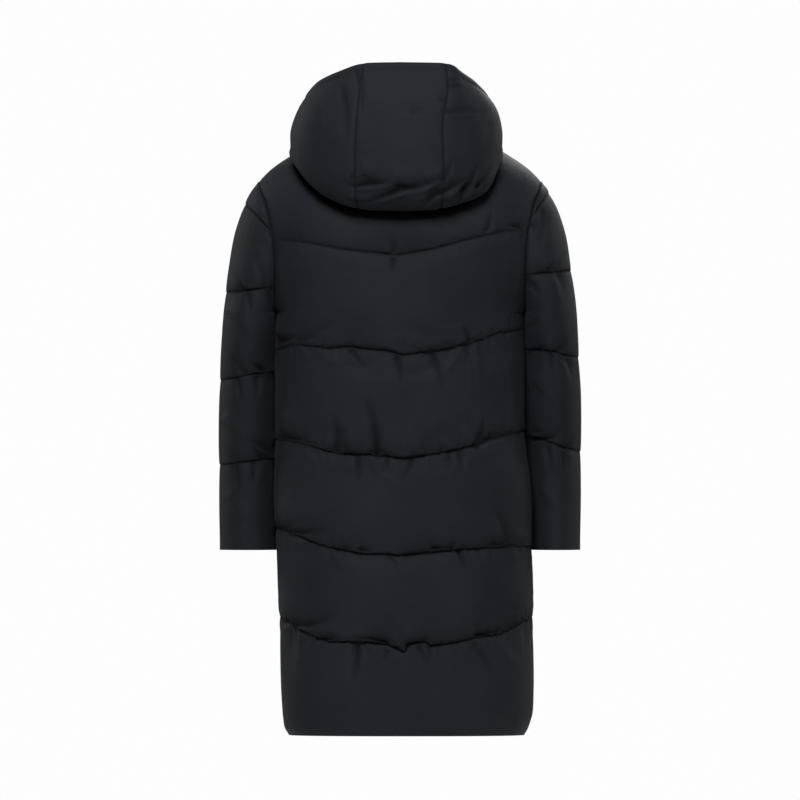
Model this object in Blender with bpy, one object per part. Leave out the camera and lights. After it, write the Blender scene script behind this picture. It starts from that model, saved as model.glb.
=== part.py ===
"""Long hooded puffer coat, filled out as it hangs when worn, with the hood down.

The frame is in metres. +Z is up, +Y is the coat's back, +X is the wearer's left. The origin lies
between the shoulders, at the height where the shoulder seams meet the neck.

Every cloth piece is a wall between an outer skin and a plain inner skin. The outer skin follows the
coat's envelope and dips to its quilting lines; the inner skin runs under it at one depth.
"""

import math

import bmesh
import bpy
import numpy as np

MM = 0.001

# Walls and quilting
WALL = 3.0 * MM  # cloth and wadding where a seam presses them together
GAP = 0.3 * MM  # clearance between neighbouring pieces at a seam
PUFF_BACK = 12.0 * MM  # rise of a quilted channel between its lines, in the middle of a panel
PUFF_SLEEVE = 8.0 * MM  # on a sleeve's front and back
PUFF_OUTER = 0.35  # share of that rise on the sleeve's outer side
PUFF_INNER = 0.10  # share of it on the side that faces the body
PUFF_HOOD = 6.0 * MM
PILLOW = 0.42  # power of the channel's cross-section: lower is fuller beside the seams
EDGE_FADE = 0.3  # share of the last channel over which the rise fades to an open edge
YOKE_FADE = 0.6  # the same for the yoke, up to the neck and the shoulder seams
ARMHOLE_FADE = 0.12  # share of a body panel's half width over which it fades to the armhole
SLEEVE_FADE = 0.35  # the same on a sleeve's half turn
PLACKET_FADE = 30.0 * MM  # and beside the zip's flat strip

# Heights
HEM = -1.041
ARMPIT = -0.300
SHOULDER_END = -0.0735
CUFF = -0.7175

# Neck seam: an oval in a plane that tips forward
NECK_HALF_WIDTH = 0.085
NECK_BACK = 0.072
NECK_FRONT = 0.095
NECK_HEIGHT = -0.004  # of the plane where it crosses the shoulder seams
NECK_SLOPE = 0.45  # rise of the plane for each metre towards the back
NECK_BEND = (52.0, 63.0)  # degrees that the yoke bends over at the centre and at the neck's corners

# Armhole: half of its depth at the widest level, on the outer skin
ARMHOLE_DEPTH = 0.088

# The body's cross-section is 1 - u**power, to the power of the rounding: at the side seams below
# the armholes, and at the yoke line
SECTION_POWER = (2.5, 3.0)
SECTION_ROUNDING = (0.4, 0.9)

# Front closure
FRONT_EDGE = 4.0 * MM  # from the centre line to a front's edge
PLACKET = 19.0 * MM  # flat strip beside a front's edge
TAPE_WIDTH = 16.0 * MM
TAPE_THICKNESS = 1.0 * MM
TAPE_CLEARANCE = 0.5 * MM
CHAIN_HALF_WIDTH = 2.6 * MM
CHAIN_THICKNESS = 2.4 * MM
ZIP_END = 12.0 * MM  # from the hem or the rim to the zip's ends
SLIDER_DROP = 14.0 * MM  # from the rim to the slider's middle
SLIDER_HALF = (4.4 * MM, 6.0 * MM)  # half width, half height
SLIDER_PLATE = 1.6 * MM
EAR_HALF_SPAN = 3.2 * MM  # from the centre line to an ear's outer side
EAR_THICKNESS = 1.1 * MM
EAR_REACH = 4.6 * MM
PIVOT_REACH = 2.9 * MM  # from the plate to the pull tab's axis
BARREL_RADIUS = 1.4 * MM
TAB_LENGTH = 24.0 * MM
TAB_HALF_WIDTH = 3.6 * MM
TAB_THICKNESS = 1.2 * MM

# Grid steps
CHANNEL_STEPS = (0.0, 0.07, 0.24, 0.5, 0.76, 0.93)
UNDERARM_STEPS = (0.0, 0.07, 0.2)  # of the body's channel below the armholes,
UNDERARM_END = 0.3  # which meets the armpit at this step
SLEEVE_UNDERARM_STEPS = (0.0, 0.12, 0.38, 0.7)  # from a sleeve's second line to the armpit
SHOULDER_SHARES = (0.16, 0.34, 0.52, 0.68, 0.81, 0.9, 0.96, 1.0)
NECK_ANGLES = (0.0, 22.5, 45.0, 67.5, 90.0)
SLEEVE_COLUMNS = 19
HOOD_ROWS = 17
HOOD_CENTRE_COLUMNS = 7
HOOD_SIDE_COLUMNS = 15
HOOD_SEAM = 0.14  # place of the panel seams: 0 at the centre back, 1 at the front edge


def table(names, rows):
    """The rows as one array for each named column."""
    return dict(zip(names.split(), np.array(rows, float).T))


# The body's envelope: how far it reaches to the left and right, and to the back and front, and the
# rise of its channels at the side seams
BODY = table(
    "height left right back front side_puff",
    [
        (-1.0410, 0.1945, 0.2175, 0.134, 0.142, 0.0040),
        (-1.0255, 0.2030, 0.2258, 0.142, 0.150, 0.0040),
        (-0.9950, 0.2065, 0.2335, 0.149, 0.156, 0.0040),
        (-0.9000, 0.2105, 0.2345, 0.153, 0.160, 0.0040),
        (-0.7500, 0.2153, 0.2328, 0.155, 0.161, 0.0040),
        (-0.6300, 0.2210, 0.2310, 0.152, 0.159, 0.0036),
        (-0.5080, 0.2193, 0.2195, 0.147, 0.157, 0.0024),
        (-0.3850, 0.2185, 0.2175, 0.145, 0.157, 0.0012),
        (-0.3000, 0.2165, 0.2165, 0.147, 0.159, 0.0010),
        (-0.2000, 0.2165, 0.2165, 0.149, 0.156, 0.0010),
        (0.0500, 0.2165, 0.2165, 0.149, 0.156, 0.0010),
    ],
)

# The armhole seam as seen from behind: its distance from the centre line
ARMHOLE = table(
    "height reach",
    [
        (-0.3000, 0.2175),
        (-0.2300, 0.2185),
        (-0.1680, 0.2230),
        (-0.1400, 0.2285),
        (-0.1140, 0.2345),
        (-0.0900, 0.2430),
        (-0.0735, 0.2485),
    ],
)

# The shoulder ridge's height against the distance from the centre line
RIDGE = table(
    "reach height",
    [
        (0.0850, -0.0040),
        (0.1300, -0.0085),
        (0.1700, -0.0150),
        (0.2000, -0.0320),
        (0.2250, -0.0500),
        (0.2485, -0.0735),
    ],
)

# The quilting lines of the back: heights at the left side, half way, the tip, half way, the right
BACK_LINES = table(
    "left half_left tip half_right right",
    [
        (HEM, HEM, HEM, HEM, HEM),
        (-0.833, -0.877, -0.894, -0.876, -0.833),
        (-0.677, -0.712, -0.726, -0.718, -0.709),
        (-0.523, -0.544, -0.555, -0.537, -0.508),
        (-0.369, -0.360, -0.376, -0.357, -0.331),
        (-0.173, -0.191, -0.202, -0.177, -0.158),
    ],
)
YOKE_LINE = 5  # the row of that table where the yoke begins
HALF_WAY = 0.54  # place of the heights half way: 0 at the tip, 1 at the side

# The sleeves' cross lines: heights on the body's side and on the outer side
SLEEVE_LINES = {
    "left": table(
        "inner outer",
        [
            (CUFF, CUFF),
            (-0.5565, -0.568),
            (-0.404, -0.420),
            (-0.259, -0.266),
            (-0.152, -0.112),
            (SHOULDER_END, SHOULDER_END),
        ],
    ),
    "right": table(
        "inner outer",
        [
            (CUFF, CUFF),
            (-0.516, -0.545),
            (-0.364, -0.380),
            (-0.236, -0.228),
            (-0.137, -0.104),
            (SHOULDER_END, SHOULDER_END),
        ],
    ),
}

# A sleeve's envelope: its outer reach, how far its inner side stands off the body, how far it
# hangs forward, and half of its depth. Down to FREE_FROM the body holds its inner side back.
FREE_FROM = -0.390
SLEEVE = table(
    "height outer off forward half_depth",
    [
        (-0.7175, 0.3160, -0.0026, 0.054, 0.078),
        (-0.5400, 0.3180, -0.0020, 0.050, 0.081),
        (-0.4500, 0.3175, -0.0012, 0.042, 0.083),
        (-0.3900, 0.3150, -0.0004, 0.034, 0.085),
        (-0.3400, 0.3120, 0.0004, 0.024, 0.087),
        (-0.3000, 0.3095, 0.0005, 0.015, 0.088),
        (-0.2600, 0.3055, 0.0005, 0.008, 0.088),
        (-0.2140, 0.2985, 0.0005, 0.002, 0.088),
        (-0.1720, 0.2915, 0.0005, 0.000, 0.088),
        (-0.1435, 0.2840, 0.0005, 0.000, 0.088),
        (-0.1155, 0.2740, 0.0005, 0.000, 0.088),
        (-0.0875, 0.2590, 0.0005, 0.000, 0.088),
        (-0.0735, 0.2485, 0.0005, 0.000, 0.088),
    ],
)

# The hood's meridians from the centre back (0) to the front edge (1). Each one rises from the neck
# seam, turns down to the bag's low point, fills out to its belly and comes up to the rim.
HOOD = table(
    "share rise low_x low_y low_z belly_x belly_y rim_x rim_y rim_z",
    [
        (0.00, 0.018, 0.000, 0.163, -0.1225, 0.000, 0.206, 0.000, 0.168, 0.133),
        (0.12, 0.018, 0.062, 0.160, -0.1200, 0.066, 0.202, 0.055, 0.163, 0.132),
        (0.25, 0.018, 0.124, 0.144, -0.0980, 0.135, 0.175, 0.105, 0.145, 0.117),
        (0.36, 0.018, 0.166, 0.116, -0.0600, 0.172, 0.131, 0.141, 0.107, 0.098),
        (0.47, 0.016, 0.185, 0.068, -0.0240, 0.183, 0.074, 0.154, 0.060, 0.080),
        (0.60, 0.014, 0.136, 0.004, 0.0100, 0.146, 0.006, 0.130, -0.006, 0.060),
        (0.75, 0.012, 0.080, -0.085, -0.0100, 0.096, -0.090, 0.092, -0.080, 0.036),
        (0.88, 0.010, 0.040, -0.107, -0.0200, 0.050, -0.116, 0.051, -0.108, 0.022),
        (1.00, 0.010, 0.000, -0.110, -0.0220, 0.000, -0.120, 0.000, -0.118, 0.018),
    ],
)
HOOD_LEAN = 0.008  # the hood's wide part hangs this far to the wearer's left

# Places between a meridian's named ones: share of the way across and share of the change in height
RISE_PLACE = (0.28, 1.0)  # from the neck seam to the low point, with the height at the top of the rise
FALL_PLACE = (0.72, 0.42)  # on to the low point
TURN_PLACE = (0.72, 0.09)  # from the low point to the belly, heights on to the rim
BELLY_HEIGHT = 0.38
CLOSE_PLACE = (0.42, 0.74)  # from the belly to the rim

# Looks: linear colour, roughness, metallic
CLOTH = ("black_cloth", (0.0135, 0.0142, 0.0160), 0.62, 0.0)
TAPE = ("zip_tape", (0.0100, 0.0100, 0.0110), 0.80, 0.0)
PLASTIC = ("zip_teeth", (0.0120, 0.0120, 0.0130), 0.42, 0.0)
METAL = ("black_metal", (0.0200, 0.0200, 0.0220), 0.35, 0.9)


# ---------------------------------------------------------------- curves


def smooth(at, knots, values):
    """The value at each place of a smooth curve through the knots that never overshoots them."""
    at = np.clip(np.asarray(at, float), knots[0], knots[-1])
    step = np.diff(knots)
    secant = np.diff(values) / step
    before = np.concatenate([secant[:1], secant])
    after = np.concatenate([secant, secant[-1:]])
    same_way = before * after > 0
    total = np.where(same_way, before + after, 1.0)
    slope = np.where(same_way, 2.0 * before * after / total, 0.0)
    i = np.clip(np.searchsorted(knots, at, side="right") - 1, 0, len(step) - 1)
    t = (at - knots[i]) / step[i]
    start = (1.0 + 2.0 * t) * (1.0 - t) ** 2 * values[i] + t * (1.0 - t) ** 2 * step[i] * slope[i]
    end = t * t * (3.0 - 2.0 * t) * values[i + 1] - t * t * (1.0 - t) * step[i] * slope[i + 1]
    return start + end


def read(sizes, column, at):
    """A column of a table, at a height or at whatever its first column counts."""
    return smooth(at, next(iter(sizes.values())), sizes[column])


def mix(a, b, share):
    return a + (b - a) * share


def pillow(share):
    """Rise of a quilted channel, 0 on its lines and 1 between them."""
    return np.clip(4.0 * share * (1.0 - share), 0.0, 1.0) ** PILLOW


def fade(share):
    """0 at an edge, rising smoothly to 1 at a share of 1."""
    share = np.clip(share, 0.0, 1.0)
    return share * share * (3.0 - 2.0 * share)


def neck_plane(y):
    return NECK_HEIGHT + NECK_SLOPE * y


def unit(vectors):
    length = np.linalg.norm(vectors, axis=-1, keepdims=True)
    return vectors / np.maximum(length, 1e-12)


def normals(points, outward):
    """Unit normals of a grid of points. outward(points) says roughly which way is out."""
    across = np.gradient(points, axis=1)
    along = np.gradient(points, axis=0)
    found = unit(np.cross(across, along))
    flip = (found * outward(points)).sum(axis=-1) < 0
    found[flip] *= -1.0
    return found


# ---------------------------------------------------------------- rows shared by body and sleeves


def armhole_rows(side):
    """Levels of the armhole seam from the armpit to the shoulder's end.

    Each row holds the seam's height, half of its depth, the share of its lower arc (0 to 1) and the
    share of its upper arc (0 to 1). A side's sleeve lines fall on rows of their own.
    """
    yoke = BACK_LINES[side][YOKE_LINE]
    lines = SLEEVE_LINES[side]["inner"]
    low_line = math.acos((yoke - lines[3]) / (yoke - ARMPIT)) / (math.pi / 2)
    high_line = math.asin((lines[4] - yoke) / (SHOULDER_END - yoke)) / (math.pi / 2)
    rows = []
    for share in [low_line * k / 3 for k in range(3)] + [mix(low_line, 1.0, k / 3) for k in range(3)]:
        angle = share * math.pi / 2
        depth = ARMHOLE_DEPTH * math.sin(angle)
        rows.append((yoke - (yoke - ARMPIT) * math.cos(angle), depth, share, 0.0))
    for share in [0.0] + [mix(high_line, 1.0, k / 5) for k in range(6)]:
        angle = share * math.pi / 2
        depth = ARMHOLE_DEPTH * math.cos(angle)
        rows.append((yoke + (SHOULDER_END - yoke) * math.sin(angle), depth, 1.0, share))
    rows[-1] = (SHOULDER_END, 0.0, 1.0, 1.0)
    return table("height depth low high", rows)


LOW_ROWS = 6  # rows of the armhole below the yoke line
LOW_LINE_ROW = 3  # the row where the sleeve's third line meets the armhole
HIGH_LINE_ROW = 7  # the row where its fourth line does


def seam_ring(side, shrink):
    """The armhole seam's height and half depth at its rows, drawn in by a distance."""
    rows = armhole_rows(side)
    height, depth = rows["height"], rows["depth"]
    yoke = height[LOW_ROWS]
    low = height < yoke
    reach = np.where(low, yoke - ARMPIT, SHOULDER_END - yoke)
    up = (height - yoke) / reach**2
    out = depth / ARMHOLE_DEPTH**2
    length = np.hypot(up, out)
    return height - shrink * up / length, np.maximum(depth - shrink * out / length, 0.0)


# ---------------------------------------------------------------- body


def body_rows():
    """Every row of a body panel: its channel, its share in it, and its heights across the back."""
    rows = []
    for line in range(YOKE_LINE - 1):
        for share in CHANNEL_STEPS:
            rows.append((line, share, -1))
    for share in UNDERARM_STEPS:
        rows.append((YOKE_LINE - 1, share, -1))
    for level in range(len(armhole_rows("left")["height"])):
        rows.append((YOKE_LINE if level >= LOW_ROWS else YOKE_LINE - 1, None, level))
    return rows


def side_height(side, row):
    line, share, level = row
    if level >= 0:
        return armhole_rows(side)["height"][level]
    here = BACK_LINES[side]
    top = here[line + 1]
    if line == YOKE_LINE - 1:
        return mix(here[line], ARMPIT, share / UNDERARM_END)
    return mix(here[line], top, share)


def row_share(row):
    """Share of the channel that a row lies at, the mean of both sides."""
    line, share, level = row
    if level < 0 and line < YOKE_LINE - 1:
        return share
    if line == YOKE_LINE - 1:
        found = []
        for side in ("left", "right"):
            low, high = BACK_LINES[side][line], BACK_LINES[side][line + 1]
            found.append((side_height(side, row) - low) / (high - low))
        return sum(found) / 2
    return armhole_rows("left")["high"][level]


def line_height(line, s, front):
    """Height of a quilting line across a panel: s is 1 at the left side and -1 at the right."""
    ends = np.where(s >= 0, BACK_LINES["left"][line], BACK_LINES["right"][line])
    tip = BACK_LINES["tip"][line]
    u = np.abs(s)
    if front:
        return mix(tip, ends, u)
    half = np.where(s >= 0, BACK_LINES["half_left"][line], BACK_LINES["half_right"][line])
    curve = (half - mix(tip, ends, HALF_WAY)) / (HALF_WAY * (1.0 - HALF_WAY))
    return mix(tip, ends, u) + curve * u * (1.0 - u)


def body_reach(side, row):
    """Distance of a body panel's side edge from the centre line."""
    height = side_height(side, row)
    if row[2] >= 0:
        return float(read(ARMHOLE, "reach", height)) - GAP / 2
    return float(read(BODY, side, height))


def body_columns(front):
    """Places across a panel, from the centre to the side, so that one falls on the neck's corner."""
    edge = FRONT_EDGE if front else 0.0
    width = read(ARMHOLE, "reach", SHOULDER_END) - GAP / 2 - edge
    corner = (NECK_HALF_WIDTH - edge) / width
    start = math.degrees(math.asin(edge / NECK_HALF_WIDTH))
    neck = []
    for angle in NECK_ANGLES:
        turned = math.radians(mix(start, 90.0, angle / 90.0))
        neck.append((NECK_HALF_WIDTH * math.sin(turned) - edge) / width)
    if front:
        neck[1:1] = [(PLACKET - edge) / width * 0.8]
    neck[-1] = corner
    return np.array(neck + [mix(corner, 1.0, share) for share in SHOULDER_SHARES])


def body_envelope(columns, front):
    """Grid of points of the body's outermost surface: rows from the hem up, columns across."""
    sign = -1.0 if front else 1.0
    rows = body_rows()
    first = len(rows) - len(armhole_rows("left")["height"])
    edge = FRONT_EDGE if front else 0.0
    u = np.abs(columns)
    left = columns >= 0
    grid = []
    for row in rows:
        line, _, level = row
        share = row_share(row)
        reach = {side: body_reach(side, row) for side in ("left", "right")}
        if front:
            x = np.where(left, edge + u * (reach["left"] - edge), -edge - u * (reach["right"] - edge))
        else:
            x = (reach["left"] - reach["right"]) / 2 + columns * (reach["left"] + reach["right"]) / 2
        if line < YOKE_LINE:
            low, high = (line_height(k, columns, front) for k in (line, line + 1))
            own = share
            if line == YOKE_LINE - 1:
                ends = {side: BACK_LINES[side][line : line + 2] for side in ("left", "right")}
                own = np.where(
                    left,
                    (side_height("left", row) - ends["left"][0]) / np.ptp(ends["left"]),
                    (side_height("right", row) - ends["right"][0]) / np.ptp(ends["right"]),
                )
            z = mix(low, high, mix(share, own, u))
        elif level == LOW_ROWS:
            z = line_height(YOKE_LINE, columns, front)
        if level < 0:
            depth_end, turn = np.zeros_like(u), 0.0
        elif level <= LOW_ROWS:
            depth_end = np.where(
                left, armhole_rows("left")["depth"][level], armhole_rows("right")["depth"][level]
            )
            turn = level / LOW_ROWS
        if level <= LOW_ROWS:
            depth = read(BODY, "front" if front else "back", z)
            section = (1.0 - u ** mix(*SECTION_POWER, turn)) ** mix(*SECTION_ROUNDING, turn)
            y = mix(depth_end, depth, section)
            grid.append(np.stack([x, sign * y, z], axis=-1))
            continue
        grid.append(yoke_points(columns, x, grid[first + LOW_ROWS], level, front))
    points = np.array(grid)
    points[..., 1] = sign * np.maximum(sign * points[..., 1], GAP / 2)
    return points


def top_edge(columns, front):
    """The panel's top edge: the neck seam between its corners and the shoulder seam outside them."""
    edge = FRONT_EDGE if front else 0.0
    width = read(ARMHOLE, "reach", SHOULDER_END) - GAP / 2 - edge
    x = edge + np.abs(columns) * width
    inside = np.clip(x / NECK_HALF_WIDTH, 0.0, 1.0)
    depth = NECK_FRONT if front else NECK_BACK
    y = np.where(x < NECK_HALF_WIDTH - 1e-9, depth * np.sqrt(1.0 - inside**2), 0.0)
    y = -y if front else y
    z = np.where(
        x < NECK_HALF_WIDTH - 1e-9, neck_plane(y) - GAP / 2, read(RIDGE, "height", x)
    )
    return np.stack([np.where(columns < 0, -x, x), y, z], axis=-1), inside


def yoke_points(columns, x, start, level, front):
    """A row of the yoke: each column bends over from the yoke line to the top edge."""
    high = {side: armhole_rows(side)["high"][level] for side in ("left", "right")}
    share = mix(high["right"], high["left"], (columns + 1.0) / 2.0)
    top, inside = top_edge(columns, front)
    beyond = (np.abs(top[:, 0]) - NECK_HALF_WIDTH) / (ARMHOLE["reach"][-1] - NECK_HALF_WIDTH)
    bend = np.radians(np.where(beyond < 0, mix(*NECK_BEND, inside**3), mix(NECK_BEND[1], 90.0, beyond)))
    angle = bend * share
    rise = np.sin(angle) / np.sin(bend)
    fall = (1.0 - np.cos(angle)) / (1.0 - np.cos(bend))
    y = mix(start[:, 1], top[:, 1], fall)
    z = mix(start[:, 2], top[:, 2], rise)
    return np.stack([x, y, z], axis=-1)


def body_skins(columns, front):
    """Outer and inner grids of a body panel."""
    sign = -1.0 if front else 1.0
    skin = body_envelope(columns, front)
    out = normals(skin, lambda p: p * (0.3, 1.0, 0.0) + (0.0, 0.02 * sign, 0.05))
    rows = body_rows()
    first = len(rows) - len(armhole_rows("left")["height"])
    u = np.abs(columns)
    top, inside = top_edge(columns, front)
    rise = np.zeros(skin.shape[:2])
    deep = np.zeros(skin.shape[:2])
    for number, row in enumerate(rows):
        line, _, level = row
        share = row_share(row)
        across = mix(PUFF_BACK, read(BODY, "side_puff", skin[number, :, 2]), u**2)
        if front:
            across = across * fade((np.abs(skin[number, :, 0]) - PLACKET) / PLACKET_FADE)
        if level >= 0:
            across = across * fade((1.0 - u) / ARMHOLE_FADE)
        if line == 0:
            across = across * fade(share / EDGE_FADE)
        if line == YOKE_LINE:
            across = across * fade((1.0 - share) / YOKE_FADE)
        deep[number] = across
        rise[number] = across * (1.0 - pillow(share))
    outer = skin - out * rise[..., None]
    inner = skin - out * (deep + WALL)[..., None]
    for edge in (skin.shape[1] - 1, 0):
        if u[edge] < 1.0 - 1e-9:
            continue
        side = "left" if columns[edge] > 0 else "right"
        way = 1.0 if columns[edge] > 0 else -1.0
        below = slice(0, first)
        outer[below, edge] = skin[below, edge] - rise[below, edge, None] * (way, 0.0, 0.0)
        inner[below, edge] = skin[below, edge] - (deep + WALL)[below, edge, None] * (way, 0.0, 0.0)
        height, depth = seam_ring(side, WALL)
        reach = way * (read(ARMHOLE, "reach", height) - GAP / 2)
        outer[first:, edge] = skin[first:, edge]
        inner[first:, edge] = np.stack(
            [reach, sign * np.maximum(depth, GAP / 2), height], axis=-1
        )
    ridge = inside >= 1.0 - 1e-9
    slope = np.gradient(read(RIDGE, "height", RIDGE["reach"]), RIDGE["reach"])
    tilt = np.interp(np.abs(top[:, 0]), RIDGE["reach"], slope)
    down = unit(np.stack([-tilt * np.sign(top[:, 0]), 0 * tilt, np.ones_like(tilt)], axis=-1))
    seam = skin[-1].copy()
    seam[:, 1] = np.where(ridge, sign * GAP / 2, seam[:, 1])
    neck_out = unit(top[:, :2] / (NECK_HALF_WIDTH**2, (NECK_FRONT if front else NECK_BACK) ** 2))
    ring = top[:, :2] - neck_out * WALL
    neck = np.stack([ring[:, 0], ring[:, 1], neck_plane(ring[:, 1]) - GAP / 2], axis=-1)
    outer[-1] = seam
    under = np.where(ridge[:, None], seam - down * WALL, neck)
    corner = np.isclose(np.abs(top[:, 0]), NECK_HALF_WIDTH)
    under[corner] = seam[corner] - np.sign(top[corner, :1]) * (WALL, 0.0, 0.0)
    far = u > 1.0 - 1e-9
    inner[-1] = np.where(far[:, None], inner[-1], under)
    inner[-1, :, 1] = np.where(ridge, sign * GAP / 2, inner[-1, :, 1])
    if front:
        edge = int(np.argmin(u))
        way = np.sign(columns[-1] + columns[0])
        outer[:, edge, 0] = way * FRONT_EDGE
        inner[:, edge, 0] = way * FRONT_EDGE
    for skin_points in (outer, inner):
        skin_points[..., 1] = sign * np.maximum(sign * skin_points[..., 1], GAP / 2)
    return outer, inner


def kept_body_rows():
    """Rows that the plain inner skin keeps: the lines, the middles and the whole armhole."""
    rows = body_rows()
    first = len(rows) - len(armhole_rows("left")["height"])
    return [
        n for n, (_, share, _) in enumerate(rows) if n >= first or share in (0.0, 0.5)
    ]


# ---------------------------------------------------------------- sleeves


def sleeve_rows(side):
    """A sleeve's rows from the cuff up: channel, share in it, height at the seam, height outside."""
    lines = SLEEVE_LINES[side]
    rows = []
    for line in range(2):
        for share in CHANNEL_STEPS:
            inner = mix(lines["inner"][line], lines["inner"][line + 1], share)
            outer = mix(lines["outer"][line], lines["outer"][line + 1], share)
            rows.append((line, share, inner, outer))
    levels = armhole_rows(side)["height"]
    low, high = lines["inner"][2], lines["inner"][3]
    for k in SLEEVE_UNDERARM_STEPS:
        inner = mix(low, ARMPIT, k)
        share = (inner - low) / (high - low)
        rows.append((2, share, inner, mix(lines["outer"][2], lines["outer"][3], share)))
    for number, inner in enumerate(levels):
        line = 2 + (number >= LOW_LINE_ROW) + (number >= HIGH_LINE_ROW)
        share = (inner - lines["inner"][line]) / (lines["inner"][line + 1] - lines["inner"][line])
        rows.append((line, share, inner, mix(lines["outer"][line], lines["outer"][line + 1], share)))
    return rows


def sleeve_skins(side):
    """Outer and inner grids of a sleeve: a tube below the armpit, open to the armhole above it."""
    way = 1.0 if side == "left" else -1.0
    rows = sleeve_rows(side)
    levels = armhole_rows(side)
    first = len(rows) - len(levels["height"])
    turns = np.linspace(1.0, -1.0, SLEEVE_COLUMNS)
    skin = np.zeros((len(rows), SLEEVE_COLUMNS, 3))
    rise = np.zeros(skin.shape[:2])
    deep = np.zeros(skin.shape[:2])
    for number, (line, share, inner_height, outer_height) in enumerate(rows):
        outer_reach = float(read(SLEEVE, "outer", outer_height))
        level = number - first
        if level < 0:
            end = math.pi
            inner_reach = float(read(BODY, side, inner_height) + read(SLEEVE, "off", inner_height))
            half_width = (outer_reach - inner_reach) / 2
            half_depth = float(read(SLEEVE, "half_depth", inner_height))
        else:
            inner_reach = float(read(ARMHOLE, "reach", inner_height)) + GAP / 2
            ahead = math.cos(levels["low"][level] * math.pi / 2) if level < LOW_ROWS else 0.0
            end = math.acos(-ahead) if level < LOW_ROWS else math.pi / 2
            half_width = max(outer_reach - inner_reach, 0.0) / (1.0 + ahead)
            half_depth = ARMHOLE_DEPTH if level < LOW_ROWS else levels["depth"][level]
        angle = turns * end
        middle = outer_reach - half_width
        x = middle + half_width * np.cos(angle)
        ease = (1.0 - np.cos(angle)) / (1.0 - math.cos(end))
        held = ease * fade((inner_height - FREE_FROM) / (ARMPIT - FREE_FROM))
        y = half_depth * np.sin(angle) - read(SLEEVE, "forward", inner_height) * (1.0 - held)
        z = mix(outer_height, inner_height, ease)
        skin[number] = np.stack([way * x, y, z], axis=-1)
        flank = np.where(np.cos(angle) > 0, PUFF_OUTER, PUFF_INNER)
        across = PUFF_SLEEVE * mix(flank, 1.0, np.sin(angle) ** 2)
        if line == 0:
            across = across * fade(share / EDGE_FADE)
        if level >= 0:
            across = across * fade((1.0 - np.abs(turns)) / SLEEVE_FADE)
            across = across * fade((1.0 - levels["high"][level]) / YOKE_FADE)
        deep[number] = across
        rise[number] = across * (1.0 - pillow(share))

    def outward(points):
        centre = points.mean(axis=1, keepdims=True)
        return points - centre + (0.02 * way, 0.0, 0.01)

    out = normals(skin, outward)
    wrap = unit(
        np.cross(skin[:first, 1] - skin[:first, -2], np.gradient(skin[:, 0], axis=0)[:first])
    )
    wrap *= np.where(wrap[:, :1] * way > 0, -1.0, 1.0)
    out[:first, 0] = wrap
    out[:first, -1] = wrap
    outer = skin - out * rise[..., None]
    inner = skin - out * (deep + WALL)[..., None]
    height, depth = seam_ring(side, WALL)
    reach = way * (read(ARMHOLE, "reach", height) + GAP / 2)
    for edge, sign in ((0, 1.0), (-1, -1.0)):
        outer[first:, edge] = skin[first:, edge]
        inner[first:, edge] = np.stack([reach, sign * depth, height], axis=-1)
    inner[-1] = inner[-1, 0] * (1.0, 0.0, 1.0)
    outer[-1] = outer[-1, 0] * (1.0, 0.0, 1.0)
    for skin_points in (outer, inner):
        skin_points[0, :, 2] = CUFF
        least = read(ARMHOLE, "reach", skin_points[first:, :, 2]) + GAP / 2
        skin_points[first:, :, 0] = way * np.maximum(way * skin_points[first:, :, 0], least)
        skin_points[: first + 1, -1] = skin_points[:first + 1, 0]
    kept = [n for n, row in enumerate(rows) if n >= first or row[1] in (0.0, 0.5)]
    return outer, inner, kept, first


# ---------------------------------------------------------------- hood


def hood_point(share, t, draw_in=0.0):
    """A point of the hood's envelope: share runs round from the centre back to the front edge, and is
    negative on the right; t runs from the neck seam to the rim."""
    side, share = math.copysign(1.0, share), abs(share)
    turned = math.pi * share
    depth = NECK_BACK if share <= 0.5 else NECK_FRONT
    neck = np.array([(NECK_HALF_WIDTH - draw_in) * math.sin(turned), (depth - draw_in) * math.cos(turned)])
    low, belly, rim = (
        np.array([read(HOOD, f"{name}_x", share), read(HOOD, f"{name}_y", share)])
        for name in ("low", "belly", "rim")
    )
    start = float(neck_plane(neck[1])) + GAP / 2
    rise, low_z, rim_z = (float(read(HOOD, name, share)) for name in ("rise", "low_z", "rim_z"))
    places = [
        (*neck, start),
        (*mix(neck, low, RISE_PLACE[0]), start + RISE_PLACE[1] * rise),
        (*mix(neck, low, FALL_PLACE[0]), mix(start + rise, low_z, FALL_PLACE[1])),
        (*low, low_z),
        (*mix(low, belly, TURN_PLACE[0]), mix(low_z, rim_z, TURN_PLACE[1])),
        (*belly, mix(low_z, rim_z, BELLY_HEIGHT)),
        (*mix(belly, rim, CLOSE_PLACE[0]), mix(low_z, rim_z, CLOSE_PLACE[1])),
        (*rim, rim_z),
    ]
    x, y, z = through(np.array(places), t)
    lean = HOOD_LEAN * (x / HOOD["belly_x"].max()) ** 2 * float(fade(t * 3.0))
    return np.array([side * x + lean, y, z])


def through(places, t):
    """A point of the Catmull-Rom curve through the places, spaced by the roots of their chords."""
    chord = np.sqrt(np.linalg.norm(np.diff(places, axis=0), axis=1))
    knots = np.concatenate([[0.0], np.cumsum(chord)])
    first = 2 * places[0] - places[1]
    last = 2 * places[-1] - places[-2]
    padded = np.vstack([first, places, last])
    times = np.concatenate([[-chord[0]], knots, [knots[-1] + chord[-1]]])
    at = t * knots[-1]
    i = int(np.clip(np.searchsorted(knots, at, side="right") - 1, 0, len(chord) - 1)) + 1
    p, k = padded[i - 1 : i + 3], times[i - 1 : i + 3]

    def blend(a, b, start, end):
        return a + (b - a) * (at - start) / (end - start)

    a1, a2, a3 = (blend(p[n], p[n + 1], k[n], k[n + 1]) for n in range(3))
    b1, b2 = blend(a1, a2, k[0], k[2]), blend(a2, a3, k[1], k[3])
    return blend(b1, b2, k[1], k[2])


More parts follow.
